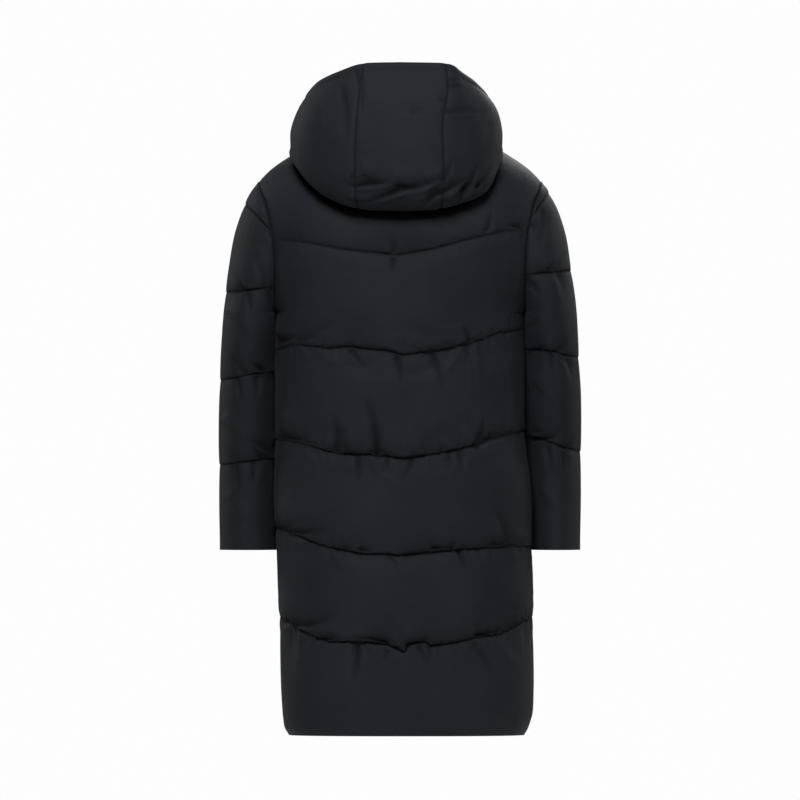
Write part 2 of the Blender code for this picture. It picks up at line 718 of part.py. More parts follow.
def hood_slopes(share, t):
    """Directions in the hood's skin at a place: round it and along its meridian."""
    step = 0.004
    across = hood_point(min(share + step, 1.0), t) - hood_point(max(share - step, -1.0), t)
    along = hood_point(share, min(t + step, 1.0)) - hood_point(share, max(t - step, 0.0))
    return unit(across), unit(along)


def hood_panel(start, end, columns):
    """Outer and inner grids of one hood panel, between two shares."""
    shares = np.linspace(start, end, columns)
    steps = np.linspace(0.0, 1.0, HOOD_ROWS)
    skin = np.array([[hood_point(share, t) for share in shares] for t in steps])
    slopes = np.array([[hood_slopes(share, t) for share in shares] for t in steps])
    out = unit(np.cross(slopes[:, :, 1], slopes[:, :, 0]))
    from_seam = np.minimum(np.arange(columns), np.arange(columns)[::-1]).astype(float)
    for edge, step in ((0, 1), (-1, -1)):
        if abs(shares[edge]) == 1.0:
            beside = np.arange(columns)[::step] - 1.0
            from_seam = np.minimum(from_seam, beside)
    deep = PUFF_HOOD * fade(from_seam / 3.0)[None, :] * fade(steps / 0.15)[:, None]
    deep = deep * fade((1.0 - steps) / 0.12)[:, None]
    inner = skin - out * (deep + WALL)[..., None]
    outer = skin.copy()
    inner[0] = [hood_point(share, 0.0, WALL) for share in shares]
    for edge, away in ((0, 1.0), (-1, -1.0)):
        for points in (outer, inner):
            if abs(shares[edge]) == 1.0:
                points[:, edge, 0] = math.copysign(FRONT_EDGE, shares[edge])
                continue
            points[:, edge] += slopes[:, edge, 0] * away * GAP / 2
    for points in (outer, inner):
        points[0, :, 2] = neck_plane(points[0, :, 1]) + GAP / 2
    return outer, inner


# ---------------------------------------------------------------- meshes


def material(look):
    name, colour, roughness, metallic = look
    found = bpy.data.materials.get(name)
    if found:
        return found
    made = bpy.data.materials.new(name)
    made.use_nodes = True
    shader = made.node_tree.nodes["Principled BSDF"]
    shader.inputs["Base Color"].default_value = (*colour, 1.0)
    shader.inputs["Roughness"].default_value = roughness
    shader.inputs["Metallic"].default_value = metallic
    return made


def add_object(name, bm, look):
    """A named object from a closed mesh, with its faces turned outwards and its sharp edges kept."""
    bmesh.ops.remove_doubles(bm, verts=bm.verts, dist=1e-7)
    bmesh.ops.recalc_face_normals(bm, faces=bm.faces)
    mesh = bpy.data.meshes.new(name)
    bm.to_mesh(mesh)
    bm.free()
    mesh.materials.append(material(look))
    made = bpy.data.objects.new(name, mesh)
    bpy.context.scene.collection.objects.link(made)
    mesh.shade_smooth()
    mesh.set_sharp_from_angle(angle=math.radians(38.0))
    return made


class Skins:
    """Collects the faces of a wall; corners at one place are one vertex."""

    def __init__(self):
        self.bm = bmesh.new()
        self.places = {}

    def vertex(self, point):
        key = tuple(int(round(value * 1e7)) for value in point)
        if key not in self.places:
            self.places[key] = self.bm.verts.new(tuple(float(value) for value in point))
        return self.places[key]

    def face(self, *points):
        corners = []
        for point in points:
            corner = self.vertex(point)
            if corner not in corners:
                corners.append(corner)
        if len(corners) >= 3 and not self.bm.faces.get(corners):
            self.bm.faces.new(corners)


def wall(name, outer, inner, kept=None, open_from=0, look=CLOTH):
    """A closed wall between two grids. kept lists the rows that the inner skin uses, and the sides
    are closed from row open_from up; below it the first and last columns meet."""
    skins = Skins()
    rows, columns = outer.shape[:2]
    kept = list(range(rows)) if kept is None else sorted(set(kept) | {0, rows - 1})
    for r in range(rows - 1):
        for c in range(columns - 1):
            skins.face(outer[r, c], outer[r, c + 1], outer[r + 1, c + 1], outer[r + 1, c])
    for low, high in zip(kept, kept[1:]):
        for c in range(columns - 1):
            skins.face(inner[low, c], inner[high, c], inner[high, c + 1], inner[low, c + 1])
        if low < open_from:
            continue
        middle = (low + high) // 2
        for c in (0, columns - 1):
            for r in range(low, high):
                corner = inner[low, c] if r < middle else inner[high, c]
                skins.face(outer[r, c], outer[r + 1, c], corner)
            skins.face(inner[low, c], outer[middle, c], inner[high, c])
    for r in (0, rows - 1):
        for c in range(columns - 1):
            skins.face(outer[r, c], outer[r, c + 1], inner[r, c + 1], inner[r, c])
    return add_object(name, skins.bm, look)


def bar(name, sections, look):
    """A closed bar through sections of equal corner counts."""
    skins = Skins()
    corners = len(sections[0])
    for a, b in zip(sections, sections[1:]):
        for k in range(corners):
            n = (k + 1) % corners
            skins.face(a[k], a[n], b[n], b[k])
    skins.face(*sections[0])
    skins.face(*sections[-1])
    return add_object(name, skins.bm, look)


def box(low, high, taper=0.0):
    """Two sections of a box along Z, each an outline with cut corners."""
    sections = []
    for z in (low[2], high[2]):
        sections.append(
            [
                (low[0] + taper, low[1], z),
                (high[0] - taper, low[1], z),
                (high[0], low[1] + taper, z),
                (high[0], high[1], z),
                (low[0], high[1], z),
                (low[0], low[1] + taper, z),
            ]
        )
    return sections


# ---------------------------------------------------------------- zip


def closing_line(panel, hood):
    """Points of the fronts' inner skin beside the zip, two a row, from the zip's foot to its head."""
    strip = np.vstack([panel, hood[:, ::-1]])
    heights = strip[:, 0, 2]
    order = np.linspace(0.0, 1.0, len(strip))
    ends = np.interp([HEM + ZIP_END, heights[-1] - ZIP_END / 3], heights, order)
    places = np.concatenate([ends[:1], order[(order > ends[0]) & (order < ends[1])], ends[1:]])
    found = np.empty((len(places), 2, 3))
    for column in range(2):
        for axis in range(3):
            found[:, column, axis] = np.interp(places, order, strip[:, column, axis])
    along = np.gradient(found[:, 0], axis=0)
    out = unit(np.stack([0 * along[:, 0], -along[:, 2], along[:, 1]], axis=-1))
    return found, out


def zip_band(line, out, left, right, low, high):
    """Sections of a band along the closing line, between two distances behind the inner skin."""
    sections = []
    for (near, _), way in zip(line, out):
        corners = []
        for x, depth in ((left, low), (right, low), (right, high), (left, high)):
            corners.append((x, near[1] - way[1] * depth, near[2] - way[2] * depth))
        sections.append(corners)
    return sections


def make_zip(line, out):
    """The tapes behind the fronts' edges, and the chain between the edges."""
    beyond = (TAPE_WIDTH - FRONT_EDGE) / (line[:, 1, 0] - line[:, 0, 0])
    outside = mix(line[:, 0], line[:, 1], np.minimum(beyond, 1.0)[:, None])
    for side, way in (("left", 1.0), ("right", -1.0)):
        middle = line[:, 0] * (0.0, 1.0, 1.0) + (GAP * way, 0.0, 0.0)
        front = line[:, 0] * (way, 1.0, 1.0)
        far = outside * (way, 1.0, 1.0)
        skin = np.stack([middle, front, far], axis=1)
        near = skin - out[:, None] * TAPE_CLEARANCE
        wall(f"zip_tape_{side}", near, near - out[:, None] * TAPE_THICKNESS, look=TAPE)
    low = TAPE_CLEARANCE - GAP
    sections = zip_band(line, out, -CHAIN_HALF_WIDTH, CHAIN_HALF_WIDTH, low - CHAIN_THICKNESS, low)
    bar("zip_chain", sections, PLASTIC)


def make_slider(edge):
    """The slider in front of the chain, and the pull tab that turns between its ears."""
    middle = edge[-1, 2] - SLIDER_DROP
    beside = np.abs(edge[:, 2] - middle) < 2 * SLIDER_HALF[1]
    back = edge[beside, 1].min() - GAP
    face = back - SLIDER_PLATE
    half_width, half_height = SLIDER_HALF
    axis_y, axis_z = face - PIVOT_REACH, middle
    low, high = (-half_width, face, middle - half_height), (half_width, back, middle + half_height)
    parts = [box(low, high, 0.5 * MM)]
    for way in (1.0, -1.0):
        near, far = sorted((way * EAR_HALF_SPAN, way * (EAR_HALF_SPAN - EAR_THICKNESS)))
        low = (near, face - EAR_REACH, middle - half_height / 2)
        high = (far, face + SLIDER_PLATE / 2, middle + half_height / 2)
        parts.append(box(low, high, 0.3 * MM))
    slider = bar("zip_slider", parts[0], METAL)
    for number, sections in enumerate(parts[1:]):
        ear = bar(f"ear_{number}", sections, METAL)
        ear.hide_render = True
        ear.display_type = "WIRE"
        join = slider.modifiers.new(f"ear_{number}", "BOOLEAN")
        join.operation = "UNION"
        join.solver = "EXACT"
        join.object = ear
    half = EAR_HALF_SPAN - EAR_THICKNESS - GAP
    barrel = []
    for x in (-half, half):
        ring = []
        for k in range(16):
            turn = math.tau * k / 16
            ring.append((x, BARREL_RADIUS * math.sin(turn), BARREL_RADIUS * math.cos(turn)))
        barrel.append(ring)
    tab = bar("zip_pull", barrel, METAL)
    thick = TAB_THICKNESS / 2
    neck = half * 0.8
    outline = [
        (-neck, -BARREL_RADIUS / 2),
        (-neck, -half_height * 0.9),
        (-TAB_HALF_WIDTH, -half_height * 1.3),
        (-TAB_HALF_WIDTH, -TAB_LENGTH + 2 * MM),
        (-TAB_HALF_WIDTH + 2 * MM, -TAB_LENGTH),
        (TAB_HALF_WIDTH - 2 * MM, -TAB_LENGTH),
        (TAB_HALF_WIDTH, -TAB_LENGTH + 2 * MM),
        (TAB_HALF_WIDTH, -half_height * 1.3),
        (neck, -half_height * 0.9),
        (neck, -BARREL_RADIUS / 2),
    ]
    blade = bar("pull_blade", [[(x, y, z) for x, z in outline] for y in (-thick, thick)], METAL)
    blade.hide_render = True
    blade.display_type = "WIRE"
    join = tab.modifiers.new("blade", "BOOLEAN")
    join.operation = "UNION"
    join.solver = "EXACT"
    join.object = blade
    for piece in (tab, blade):
        piece.location = (0.0, axis_y, axis_z)


# ---------------------------------------------------------------- the coat


def main():
    for found in list(bpy.data.objects):
        bpy.data.objects.remove(found, do_unlink=True)
    half = body_columns(front=False)
    whole = np.concatenate([-half[::-1], half[1:]])
    outer, inner = body_skins(whole, front=False)
    wall("back", outer, inner, kept_body_rows())
    half = body_columns(front=True)
    kept = kept_body_rows()
    outer, inner = body_skins(half, front=True)
    wall("front_left", outer, inner, kept)
    panel_strip = inner[kept, :2]
    outer, inner = body_skins(-half, front=True)
    wall("front_right", outer, inner, kept)
    for side in ("left", "right"):
        outer, inner, kept, first = sleeve_skins(side)
        wall(f"sleeve_{side}", outer, inner, kept, first)
    wall("hood_centre", *hood_panel(-HOOD_SEAM, HOOD_SEAM, HOOD_CENTRE_COLUMNS))
    outer, inner = hood_panel(HOOD_SEAM, 1.0, HOOD_SIDE_COLUMNS)
    wall("hood_left", outer, inner)
    wall("hood_right", *hood_panel(-HOOD_SEAM, -1.0, HOOD_SIDE_COLUMNS))
    make_zip(*closing_line(panel_strip, inner[:, -2:]))
    make_slider(outer[:, -1])


main()
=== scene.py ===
"""Looks of a long hooded puffer coat, filled out as it hangs when worn, with the hood down.

The frame is in metres: +Z up, +Y out of the coat's back, +X towards the wearer's left. Each cloth
piece is a fine shell over the same envelope as its solid, quilted, puckered and creased.
"""

import logging
import math
from dataclasses import dataclass, field
from enum import Enum

import bmesh
import bpy
import numpy as np
from mathutils import Matrix


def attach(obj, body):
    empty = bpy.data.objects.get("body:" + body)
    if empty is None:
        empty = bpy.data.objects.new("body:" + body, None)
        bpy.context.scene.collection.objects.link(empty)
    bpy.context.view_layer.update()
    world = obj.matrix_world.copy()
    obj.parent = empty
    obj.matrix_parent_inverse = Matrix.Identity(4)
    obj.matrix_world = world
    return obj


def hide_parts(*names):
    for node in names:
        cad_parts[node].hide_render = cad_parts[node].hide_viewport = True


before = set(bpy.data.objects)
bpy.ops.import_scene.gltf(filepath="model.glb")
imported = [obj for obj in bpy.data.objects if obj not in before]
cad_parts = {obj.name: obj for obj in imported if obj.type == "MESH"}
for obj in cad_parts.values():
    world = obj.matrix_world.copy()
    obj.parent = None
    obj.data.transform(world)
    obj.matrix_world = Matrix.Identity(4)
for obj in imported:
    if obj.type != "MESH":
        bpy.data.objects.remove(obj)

LOG = logging.getLogger("coat")
MM = 0.001
Grid = np.ndarray
Folds = list[tuple[float, ...]]
Colour = tuple[float, float, float]

WALL = 3.0 * MM  # cloth and wadding where a seam presses them together
LEAST = 0.9 * MM  # the thinnest that a crease leaves the wall
GAP = 0.3 * MM  # between neighbouring solids at a seam
JOIN = 0.004 * MM  # between neighbouring shells at a seam
HEM = -1.041
ARMPIT = -0.300
SHOULDER_END = -0.0735
CUFF = -0.7175
NECK_HALF_WIDTH = 0.085
NECK_BACK = 0.072
NECK_FRONT = 0.095
NECK_HEIGHT = -0.004
NECK_SLOPE = 0.45
ARMHOLE_DEPTH = 0.088
FRONT_EDGE = 4.0 * MM
PLACKET = 19.0 * MM  # plain cloth beside the zip
PRESSED = (-0.430, -0.255)  # heights between which the body and a sleeve press on each other
SHOULDER_REACH = 0.2485  # from the middle to a shoulder's end
HOOD_SEAM = 0.14  # place of the centre strip's seams, as a share of the way round the neck
HOOD_HALF_WIDTH = 0.183
HOOD_HEM = 14.0 * MM
TAPE_WIDTH = 16.0 * MM
YOKE = 5  # quilting line where the yoke begins
PLAIN_SEAM = (-0.520, ARMPIT)  # heights between which a side seam isn't drawn in
SHADED_FROM = -0.420  # height from which a side seam lies in shadow
SEAM_DEPTH = 1.9 * MM
SEAM_REACH = 4.0 * MM  # distance over which the cloth turns down to a seam
SEAM_SHADE = 2.2 * MM  # half width of the shadow in a seam
STITCH_RISE = 0.25 * MM  # of a quilting line's thread over the cloth
CLOSE_ROWS = 0.75  # how much closer rows stand beside a quilting line
WHITE = (1.0, 1.0, 1.0, 1.0)
SEED = 20
SIDES = ("left", "right")


class Side(Enum):
    """The wearer's left or right, as the sign of x."""

    LEFT = 1.0
    RIGHT = -1.0

    @property
    def label(self) -> str:
        """Name of the side in a node's name."""
        return self.name.lower()


class Face(Enum):
    """The coat's back or front, as the sign of y."""

    BACK = 1.0
    FRONT = -1.0


def mix(a: Grid | float, b: Grid | float, share: Grid | float) -> Grid | float:
    """The value that lies a share of the way from a to b."""
    return a + (b - a) * share


def fade(share: Grid | float) -> Grid | float:
    """0 at an edge, rising smoothly to 1 at a share of 1."""
    share = np.clip(share, 0.0, 1.0)
    return share * share * (3.0 - 2.0 * share)


def hill(distance: Grid, wide: Grid | float) -> Grid:
    """1 at no distance, falling smoothly over a half width."""
    return np.exp(-((distance / wide) ** 2))


def unit(vectors: Grid) -> Grid:
    """The vectors at a length of 1."""
    length = np.linalg.norm(vectors, axis=-1, keepdims=True)
    return vectors / np.maximum(length, 1e-12)


def neck_plane(y: Grid | float) -> Grid | float:
    """Height of the neck seam's plane at a place from front to back."""
    return NECK_HEIGHT + NECK_SLOPE * y


def patchy(
    run: Grid, gap: float, low: float, rng: np.random.Generator, skip: int = 1, power: float = 1.0
) -> Grid:
    """Values from low to 1 that wander along the cloth.

    Args:
        run: metres along the cloth.
        gap: metres between two draws.
        low: the least value.
        rng: seeded source of the draws.
        skip: how many gaps lie between the draws that count.
        power: above 1 it makes high values rarer.

    Returns:
        A value for each place.
    """
    knots = np.arange(run.min() - 0.04, run.max() + 0.08, gap)[::skip]
    return np.interp(run, knots, rng.uniform(low, 1.0, len(knots)) ** power)


def crowded(count: int, low: float = CLOSE_ROWS, high: float = CLOSE_ROWS) -> Grid:
    """Places from 0 up to, but without, 1 that stand closer together towards the ends.

    Args:
        count: how many there are.
        low: how much closer at the start, up to 1.
        high: how much closer at the end.

    Returns:
        The places.
    """
    t = np.linspace(0.0, 1.0, count + 1)
    gap = 1.0 - low * (1.0 - fade(t * 3.2)) - high * (1.0 - fade((1.0 - t) * 3.2))
    run = np.concatenate([[0.0], np.cumsum((gap[1:] + gap[:-1]) / 2)])
    return (run / run[-1])[:-1]


@dataclass(frozen=True)
class Profile:
    """Columns of sizes against the first of them, read off smooth curves that never overshoot."""

    columns: dict[str, Grid]

    @staticmethod
    def of(names: str, rows: list[tuple[float, ...]]) -> "Profile":
        """A profile from its column names and its rows."""
        return Profile(dict(zip(names.split(), np.array(rows, float).T)))

    def at(self, name: str, places: Grid | float) -> Grid:
        """A column's values.

        Args:
            name: the column.
            places: where to read it, in the first column's terms.

        Returns:
            The value at each place.
        """
        knots, values = next(iter(self.columns.values())), self.columns[name]
        at = np.clip(np.asarray(places, float), knots[0], knots[-1])
        step = np.diff(knots)
        secant = np.diff(values) / step
        before = np.concatenate([secant[:1], secant])
        after = np.concatenate([secant, secant[-1:]])
        same_way = before * after > 0
        total = np.where(same_way, before + after, 1.0)
        slope = np.where(same_way, 2.0 * before * after / total, 0.0)
        i = np.clip(np.searchsorted(knots, at, side="right") - 1, 0, len(step) - 1)
        t = (at - knots[i]) / step[i]
        low = (1 + 2 * t) * (1 - t) ** 2 * values[i] + t * (1 - t) ** 2 * step[i] * slope[i]
        high = t * t * (3 - 2 * t) * values[i + 1] - t * t * (1 - t) * step[i] * slope[i + 1]
        return low + high


BODY = Profile.of(
    "height left right back front side_puff",
    [
        (-1.0410, 0.1945, 0.2175, 0.134, 0.142, 0.0040),
        (-1.0255, 0.2030, 0.2258, 0.142, 0.150, 0.0040),
        (-0.9950, 0.2065, 0.2335, 0.149, 0.156, 0.0040),
        (-0.9000, 0.2105, 0.2345, 0.153, 0.160, 0.0040),
        (-0.7500, 0.2153, 0.2328, 0.155, 0.161, 0.0040),
        (-0.6300, 0.2210, 0.2310, 0.152, 0.159, 0.0036),
        (-0.5080, 0.2193, 0.2195, 0.147, 0.157, 0.0024),
        (-0.3850, 0.2185, 0.2175, 0.145, 0.157, 0.0012),
        (-0.3000, 0.2165, 0.2165, 0.147, 0.159, 0.0010),
        (-0.2000, 0.2165, 0.2165, 0.149, 0.156, 0.0010),
        (0.0500, 0.2165, 0.2165, 0.149, 0.156, 0.0010),
    ],
)
ARMHOLE = Profile.of(
    "height reach",
    [
        (-0.3000, 0.2175),
        (-0.2300, 0.2185),
        (-0.1680, 0.2230),
        (-0.1400, 0.2285),
        (-0.1140, 0.2345),
        (-0.0900, 0.2430),
        (-0.0735, 0.2485),
    ],
)
RIDGE = Profile.of(
    "reach height",
    [
        (0.0850, -0.0040),
        (0.1300, -0.0085),
        (0.1700, -0.0150),
        (0.2000, -0.0320),
        (0.2250, -0.0500),
        (0.2485, -0.0735),
    ],
)
# Quilting lines, the hem first: heights at the left side seam, the tip and the right side seam
LINES = Profile.of(
    "left tip right",
    [
        (HEM, HEM, HEM),
        (-0.833, -0.894, -0.833),
        (-0.677, -0.726, -0.709),
        (-0.523, -0.555, -0.508),
        (-0.369, -0.376, -0.331),
        (-0.173, -0.202, -0.158),
    ],
).columns
# The back's quilting lines in millimetres: places across (x) and heights, from right to left
BACK_LINES = {
    1: [
        (-200, -852), (-177, -863), (-140, -868), (-93, -877), (-58, -882),
        (-42, -876), (-26, -876), (-15, -883), (-7, -894), (5, -887), (23, -880), (51, -877),
        (88, -876), (126, -876), (163, -862), (191, -849), (203, -841),
    ],
    2: [
        (-200, -710), (-163, -712), (-117, -715), (-70, -719), (-23, -723), (5, -725),
        (33, -723), (70, -722), (107, -716), (145, -707), (173, -695), (205, -684),
    ],
    3: [
        (-177, -519), (-145, -530), (-107, -540), (-70, -547), (-33, -553), (-5, -557),
        (23, -552), (51, -551), (79, -550), (107, -548), (135, -542), (163, -534), (191, -527),
    ],
    4: [
        (-177, -338), (-145, -350), (-117, -359), (-84, -366), (-61, -371), (-5, -376),
        (23, -369), (61, -366), (88, -362), (126, -365), (149, -362), (191, -358),
    ],
    5: [
        (-182, -161), (-140, -170), (-93, -182), (-61, -191), (-23, -198), (7, -203),
        (33, -200), (70, -196), (117, -190), (154, -182), (191, -177),
    ],
}  # fmt: skip
# A sleeve's cross lines from the cuff up: heights on the body's side, then on the outer side
SLEEVE_LINES = {
    Side.LEFT: np.array(
        [
            (CUFF, -0.5565, -0.404, -0.259, -0.163, SHOULDER_END),
            (CUFF, -0.568, -0.420, -0.266, -0.112, SHOULDER_END),
        ]
    ),
    Side.RIGHT: np.array(
        [
            (CUFF, -0.516, -0.364, -0.236, -0.137, SHOULDER_END),
            (CUFF, -0.545, -0.380, -0.228, -0.092, SHOULDER_END),
        ]
    ),
}
FREE_FROM = -0.390  # height where a sleeve comes off the body
SLEEVE = Profile.of(
    "height outer off forward half_depth",
    [
        (-0.7175, 0.3160, -0.0026, 0.054, 0.078),
        (-0.5400, 0.3180, -0.0020, 0.050, 0.081),
        (-0.4500, 0.3175, -0.0012, 0.042, 0.083),
        (-0.3900, 0.3150, -0.0004, 0.034, 0.085),
        (-0.3400, 0.3120, 0.0004, 0.024, 0.087),
        (-0.3000, 0.3095, 0.0005, 0.015, 0.088),
        (-0.2600, 0.3055, 0.0005, 0.008, 0.088),
        (-0.2140, 0.2985, 0.0005, 0.002, 0.088),
        (-0.1720, 0.2915, 0.0005, 0.000, 0.088),
        (-0.1435, 0.2840, 0.0005, 0.000, 0.088),
        (-0.1155, 0.2740, 0.0005, 0.000, 0.088),
        (-0.0875, 0.2590, 0.0005, 0.000, 0.088),
        (-0.0735, 0.2485, 0.0005, 0.000, 0.088),
    ],
)
# The hood's meridians, from the centre back (0) to the front edge (1)
HOOD = Profile.of(
    "share rise low_x low_y low_z belly_x belly_y rim_x rim_y rim_z",
    [
        (0.00, 0.018, 0.000, 0.163, -0.1260, 0.000, 0.206, 0.000, 0.168, 0.133),
        (0.12, 0.018, 0.062, 0.160, -0.1235, 0.066, 0.202, 0.055, 0.163, 0.132),
        (0.25, 0.018, 0.124, 0.144, -0.1010, 0.135, 0.175, 0.105, 0.145, 0.117),
        (0.36, 0.018, 0.166, 0.116, -0.0600, 0.172, 0.131, 0.141, 0.107, 0.098),
        (0.47, 0.016, 0.185, 0.068, -0.0240, 0.183, 0.074, 0.154, 0.060, 0.080),
        (0.60, 0.014, 0.136, 0.004, 0.0100, 0.146, 0.006, 0.130, -0.006, 0.060),
        (0.75, 0.012, 0.080, -0.085, -0.0100, 0.096, -0.090, 0.092, -0.080, 0.036),
        (0.88, 0.010, 0.040, -0.107, -0.0200, 0.050, -0.116, 0.051, -0.108, 0.022),
        (1.00, 0.010, 0.000, -0.110, -0.0220, 0.000, -0.120, 0.000, -0.118, 0.018),
    ],
)
HOOD_LEAN = 0.008
# Points of a meridian between those of the table: shares of the way across and of the way up
RISE_PLACE = (0.28, 1.0)
FALL_PLACE = (0.72, 0.42)
TURN_PLACE = (0.72, 0.09)
BELLY_HEIGHT = 0.38
CLOSE_PLACE = (0.42, 0.74)

# Creases, in millimetres: x and z of the start, x and z of the end, half width,
# depth. A positive depth is a trough, a negative one a ridge. The fronts' are the left one's.
BACK_FOLDS = [
    (12, -198, 12, -170, 5, 4), (12, -211, 16, -238, 7, 5), (-153, -158, -159, -124, 6, 4.5),
    (-213, -158, -184, -151, 6, 6.5), (-214, -172, -208, -148, 5, 4),
    (202, -336, 128, -248, 14, -3.5), (176, -350, 96, -300, 11, 3), (210, -352, 182, -338, 8, 7),
    (-124, -360, -108, -318, 7, 5), (-98, -366, -76, -350, 6, 4), (-66, -352, -40, -262, 12, -2.5),
    (6, -383, -2, -432, 7, 5), (-56, -376, -76, -440, 8, 4.5), (-116, -358, -124, -396, 7, 4.5),
    (88, -372, 60, -404, 7, 3.5), (42, -545, 60, -450, 11, 7), (84, -538, 92, -470, 11, -3.5),
    (114, -540, 116, -478, 10, 6), (206, -518, 146, -532, 11, 8.5),
    (-137, -534, -146, -478, 8, 7.5), (-150, -525, -206, -507, 10, 7.5),
    (-74, -544, -70, -524, 6, 5), (-24, -536, -20, -440, 12, -2.5), (77, -552, 74, -604, 7, 5),
    (22, -556, 30, -584, 6, 4), (-22, -558, 4, -602, 7, 5), (-86, -548, -85, -576, 6, 4),
    (-104, -544, -109, -584, 6, 4.5), (206, -680, 128, -675, 11, 9), (168, -706, 138, -668, 8, -4),
    (72, -712, 46, -718, 7, 6), (-58, -709, -112, -700, 8, 6.5), (-92, -710, -99, -688, 6, 5),
    (-165, -702, -224, -698, 10, 6), (-14, -716, 0, -640, 13, -2.5),
    (-190, -700, -160, -640, 11, 4), (24, -722, 0, -756, 7, 4.5), (-102, -720, -119, -752, 7, 4.5),
    (196, -842, 118, -832, 11, 8.5), (148, -866, 108, -843, 7, -4.5), (134, -868, 100, -858, 7, 6),
    (28, -872, 92, -864, 8, 8), (62, -868, 88, -842, 8, -3), (-14, -878, -56, -868, 7, 8),
    (-140, -860, -206, -838, 10, 7), (75, -884, 86, -952, 9, 5.5), (22, -893, 30, -914, 6, 4),
    (-32, -886, -50, -922, 7, 4.5), (-52, -886, -46, -924, 6, 3.5),
    (-160, -862, -214, -928, 11, -4), (-132, -884, -168, -946, 10, 3.5),
]  # fmt: skip
FRONT_FOLDS = [
    (34, -203, 30, -252, 7, 4), (100, -192, 112, -240, 8, 4), (180, -176, 196, -150, 7, 4),
    (198, -340, 150, -262, 12, -3.5), (180, -362, 120, -296, 10, 4), (54, -370, 60, -322, 8, 4.5),
    (44, -380, 50, -428, 7, 4.5), (104, -376, 112, -432, 7, 4.5), (166, -372, 170, -402, 7, 4),
    (60, -542, 70, -462, 12, 5.5), (118, -534, 124, -476, 10, 6), (210, -516, 160, -526, 11, 7),
    (46, -553, 52, -592, 7, 4.5), (96, -546, 92, -600, 7, 5), (150, -538, 158, -582, 7, 4),
    (214, -668, 150, -686, 11, 7.5), (62, -706, 104, -690, 9, 5), (50, -719, 60, -766, 8, 4.5),
    (122, -703, 112, -746, 7, 4.5), (212, -824, 160, -846, 11, 7.5),
    (116, -854, 146, -828, 10, 6.5), (44, -874, 78, -846, 9, 5.5), (58, -884, 66, -940, 9, 5),
    (110, -869, 104, -912, 7, 4.5), (160, -852, 196, -926, 10, -3.5),
]  # fmt: skip
SLEEVE_FOLDS = {
    Side.LEFT: [
        (225, -168, 238, -130, 7, 6.5), (234, -252, 262, -196, 9, 3.5),
        (278, -262, 284, -242, 5, 5), (225, -262, 227, -302, 7, 6), (282, -262, 292, -236, 7, 4),
        (268, -272, 262, -312, 7, 4.5), (296, -300, 240, -352, 10, -3),
        (274, -408, 300, -376, 9, 5), (236, -403, 262, -390, 7, 8), (226, -400, 237, -370, 7, 5),
        (286, -424, 280, -462, 7, 4.5), (246, -418, 250, -450, 7, 4.5),
        (306, -490, 258, -528, 11, -3), (221, -546, 268, -522, 7, 8.5),
        (238, -557, 264, -527, 6, 5), (287, -562, 302, -536, 8, 4), (290, -574, 284, -618, 7, 4.5),
        (252, -568, 256, -604, 7, 4.5), (300, -626, 244, -678, 11, -3),
    ],
    Side.RIGHT: [
        (-252, -128, -240, -196, 9, 3.5), (-273, -226, -286, -198, 8, 4),
        (-216, -151, -244, -158, 6, 8), (-214, -212, -221, -180, 5, 5),
        (-216, -248, -246, -276, 6, 8), (-262, -226, -270, -212, 5, 5),
        (-280, -238, -286, -276, 7, 4), (-216, -331, -242, -311, 7, 8),
        (-238, -370, -252, -352, 5, 5), (-274, -372, -296, -342, 9, 5),
        (-262, -380, -258, -424, 7, 4.5), (-296, -388, -302, -424, 7, 4),
        (-236, -420, -292, -468, 11, -3), (-222, -508, -254, -511, 6, 8),
        (-232, -526, -288, -506, 6, 8.5), (-291, -540, -304, -514, 8, 4),
        (-256, -540, -262, -592, 7, 4.5), (-290, -552, -284, -590, 7, 4.5),
        (-250, -612, -300, -668, 11, -3),
    ],
}  # fmt: skip
HOOD_FOLDS = [
    (60, -80, 14, -76, 9, 9), (60, -80, 96, -84, 9, 9), (84, -70, 84, -60, 5, 5),
    (84, -102, 34, -106, 7, -4), (0, -91, 58, -110, 8, 8.5), (-4, -90, -76, -68, 9, 8),
    (-40, -92, -90, -84, 7, -3), (-66, -96, -120, -66, 10, 9.5), (-60, -98, -42, -118, 7, 8),
    (-86, -106, -108, -84, 6, -4), (-113, -92, -137, -44, 7, 7.5), (-115, -90, -104, -110, 6, 5.5),
    (-122, -92, -136, -64, 5, -4), (-137, -84, -160, -44, 6, 6), (-146, -78, -160, -56, 5, -3.5),
    (-76, -72, -90, -40, 7, 5), (98, 80, 98, -14, 9, 3.5), (74, 112, 68, 40, 6, 4),
    (-84, 44, -154, 42, 7, 3), (-88, 103, -112, 103, 5, 3), (-88, 89, -112, 87, 5, 3),
    (-80, 62, -62, 68, 9, 3), (40, 60, 6, -30, 16, -2.5), (-24, 44, -52, 58, 9, 1.5),
    (140, 40, 150, -40, 12, 1.5), (-160, 20, -140, -50, 12, 1.5),
]  # fmt: skip


# ---------------------------------------------------------------- cloth grids


def put(name: str, data: bpy.types.ID) -> bpy.types.Object:
    """A new object in the scene."""
    made = bpy.data.objects.new(name, data)
    bpy.context.scene.collection.objects.link(made)
    return made


@dataclass(frozen=True)
class Pucker:
    """Sizes of the small gathers beside a quilting line, in metres."""

    spacing: float
    width: float
    depth: float
    reach: float


@dataclass(frozen=True)
class Quilting:
    """How a piece is quilted, with a share or an amount for each of its lines."""

    lean: float  # how far a channel's fullness sits towards its lower line, from 0
    gathers: dict[int, float]
    above: Pucker
    below: Pucker
    droops: dict[int, float]  # millimetres that the channel above a line hangs over it
    reach: float  # distance above a line where it does
    shades: dict[int, float]
    valley_shade: float  # half width of the shadow in a line
    over: float  # share of the shadow under the channel above
    loose: dict[int, tuple[float, float]]  # above and below each line
    loose_reach: float
    power: float = 0.38  # of a channel's cross-section; lower is fuller beside the seams


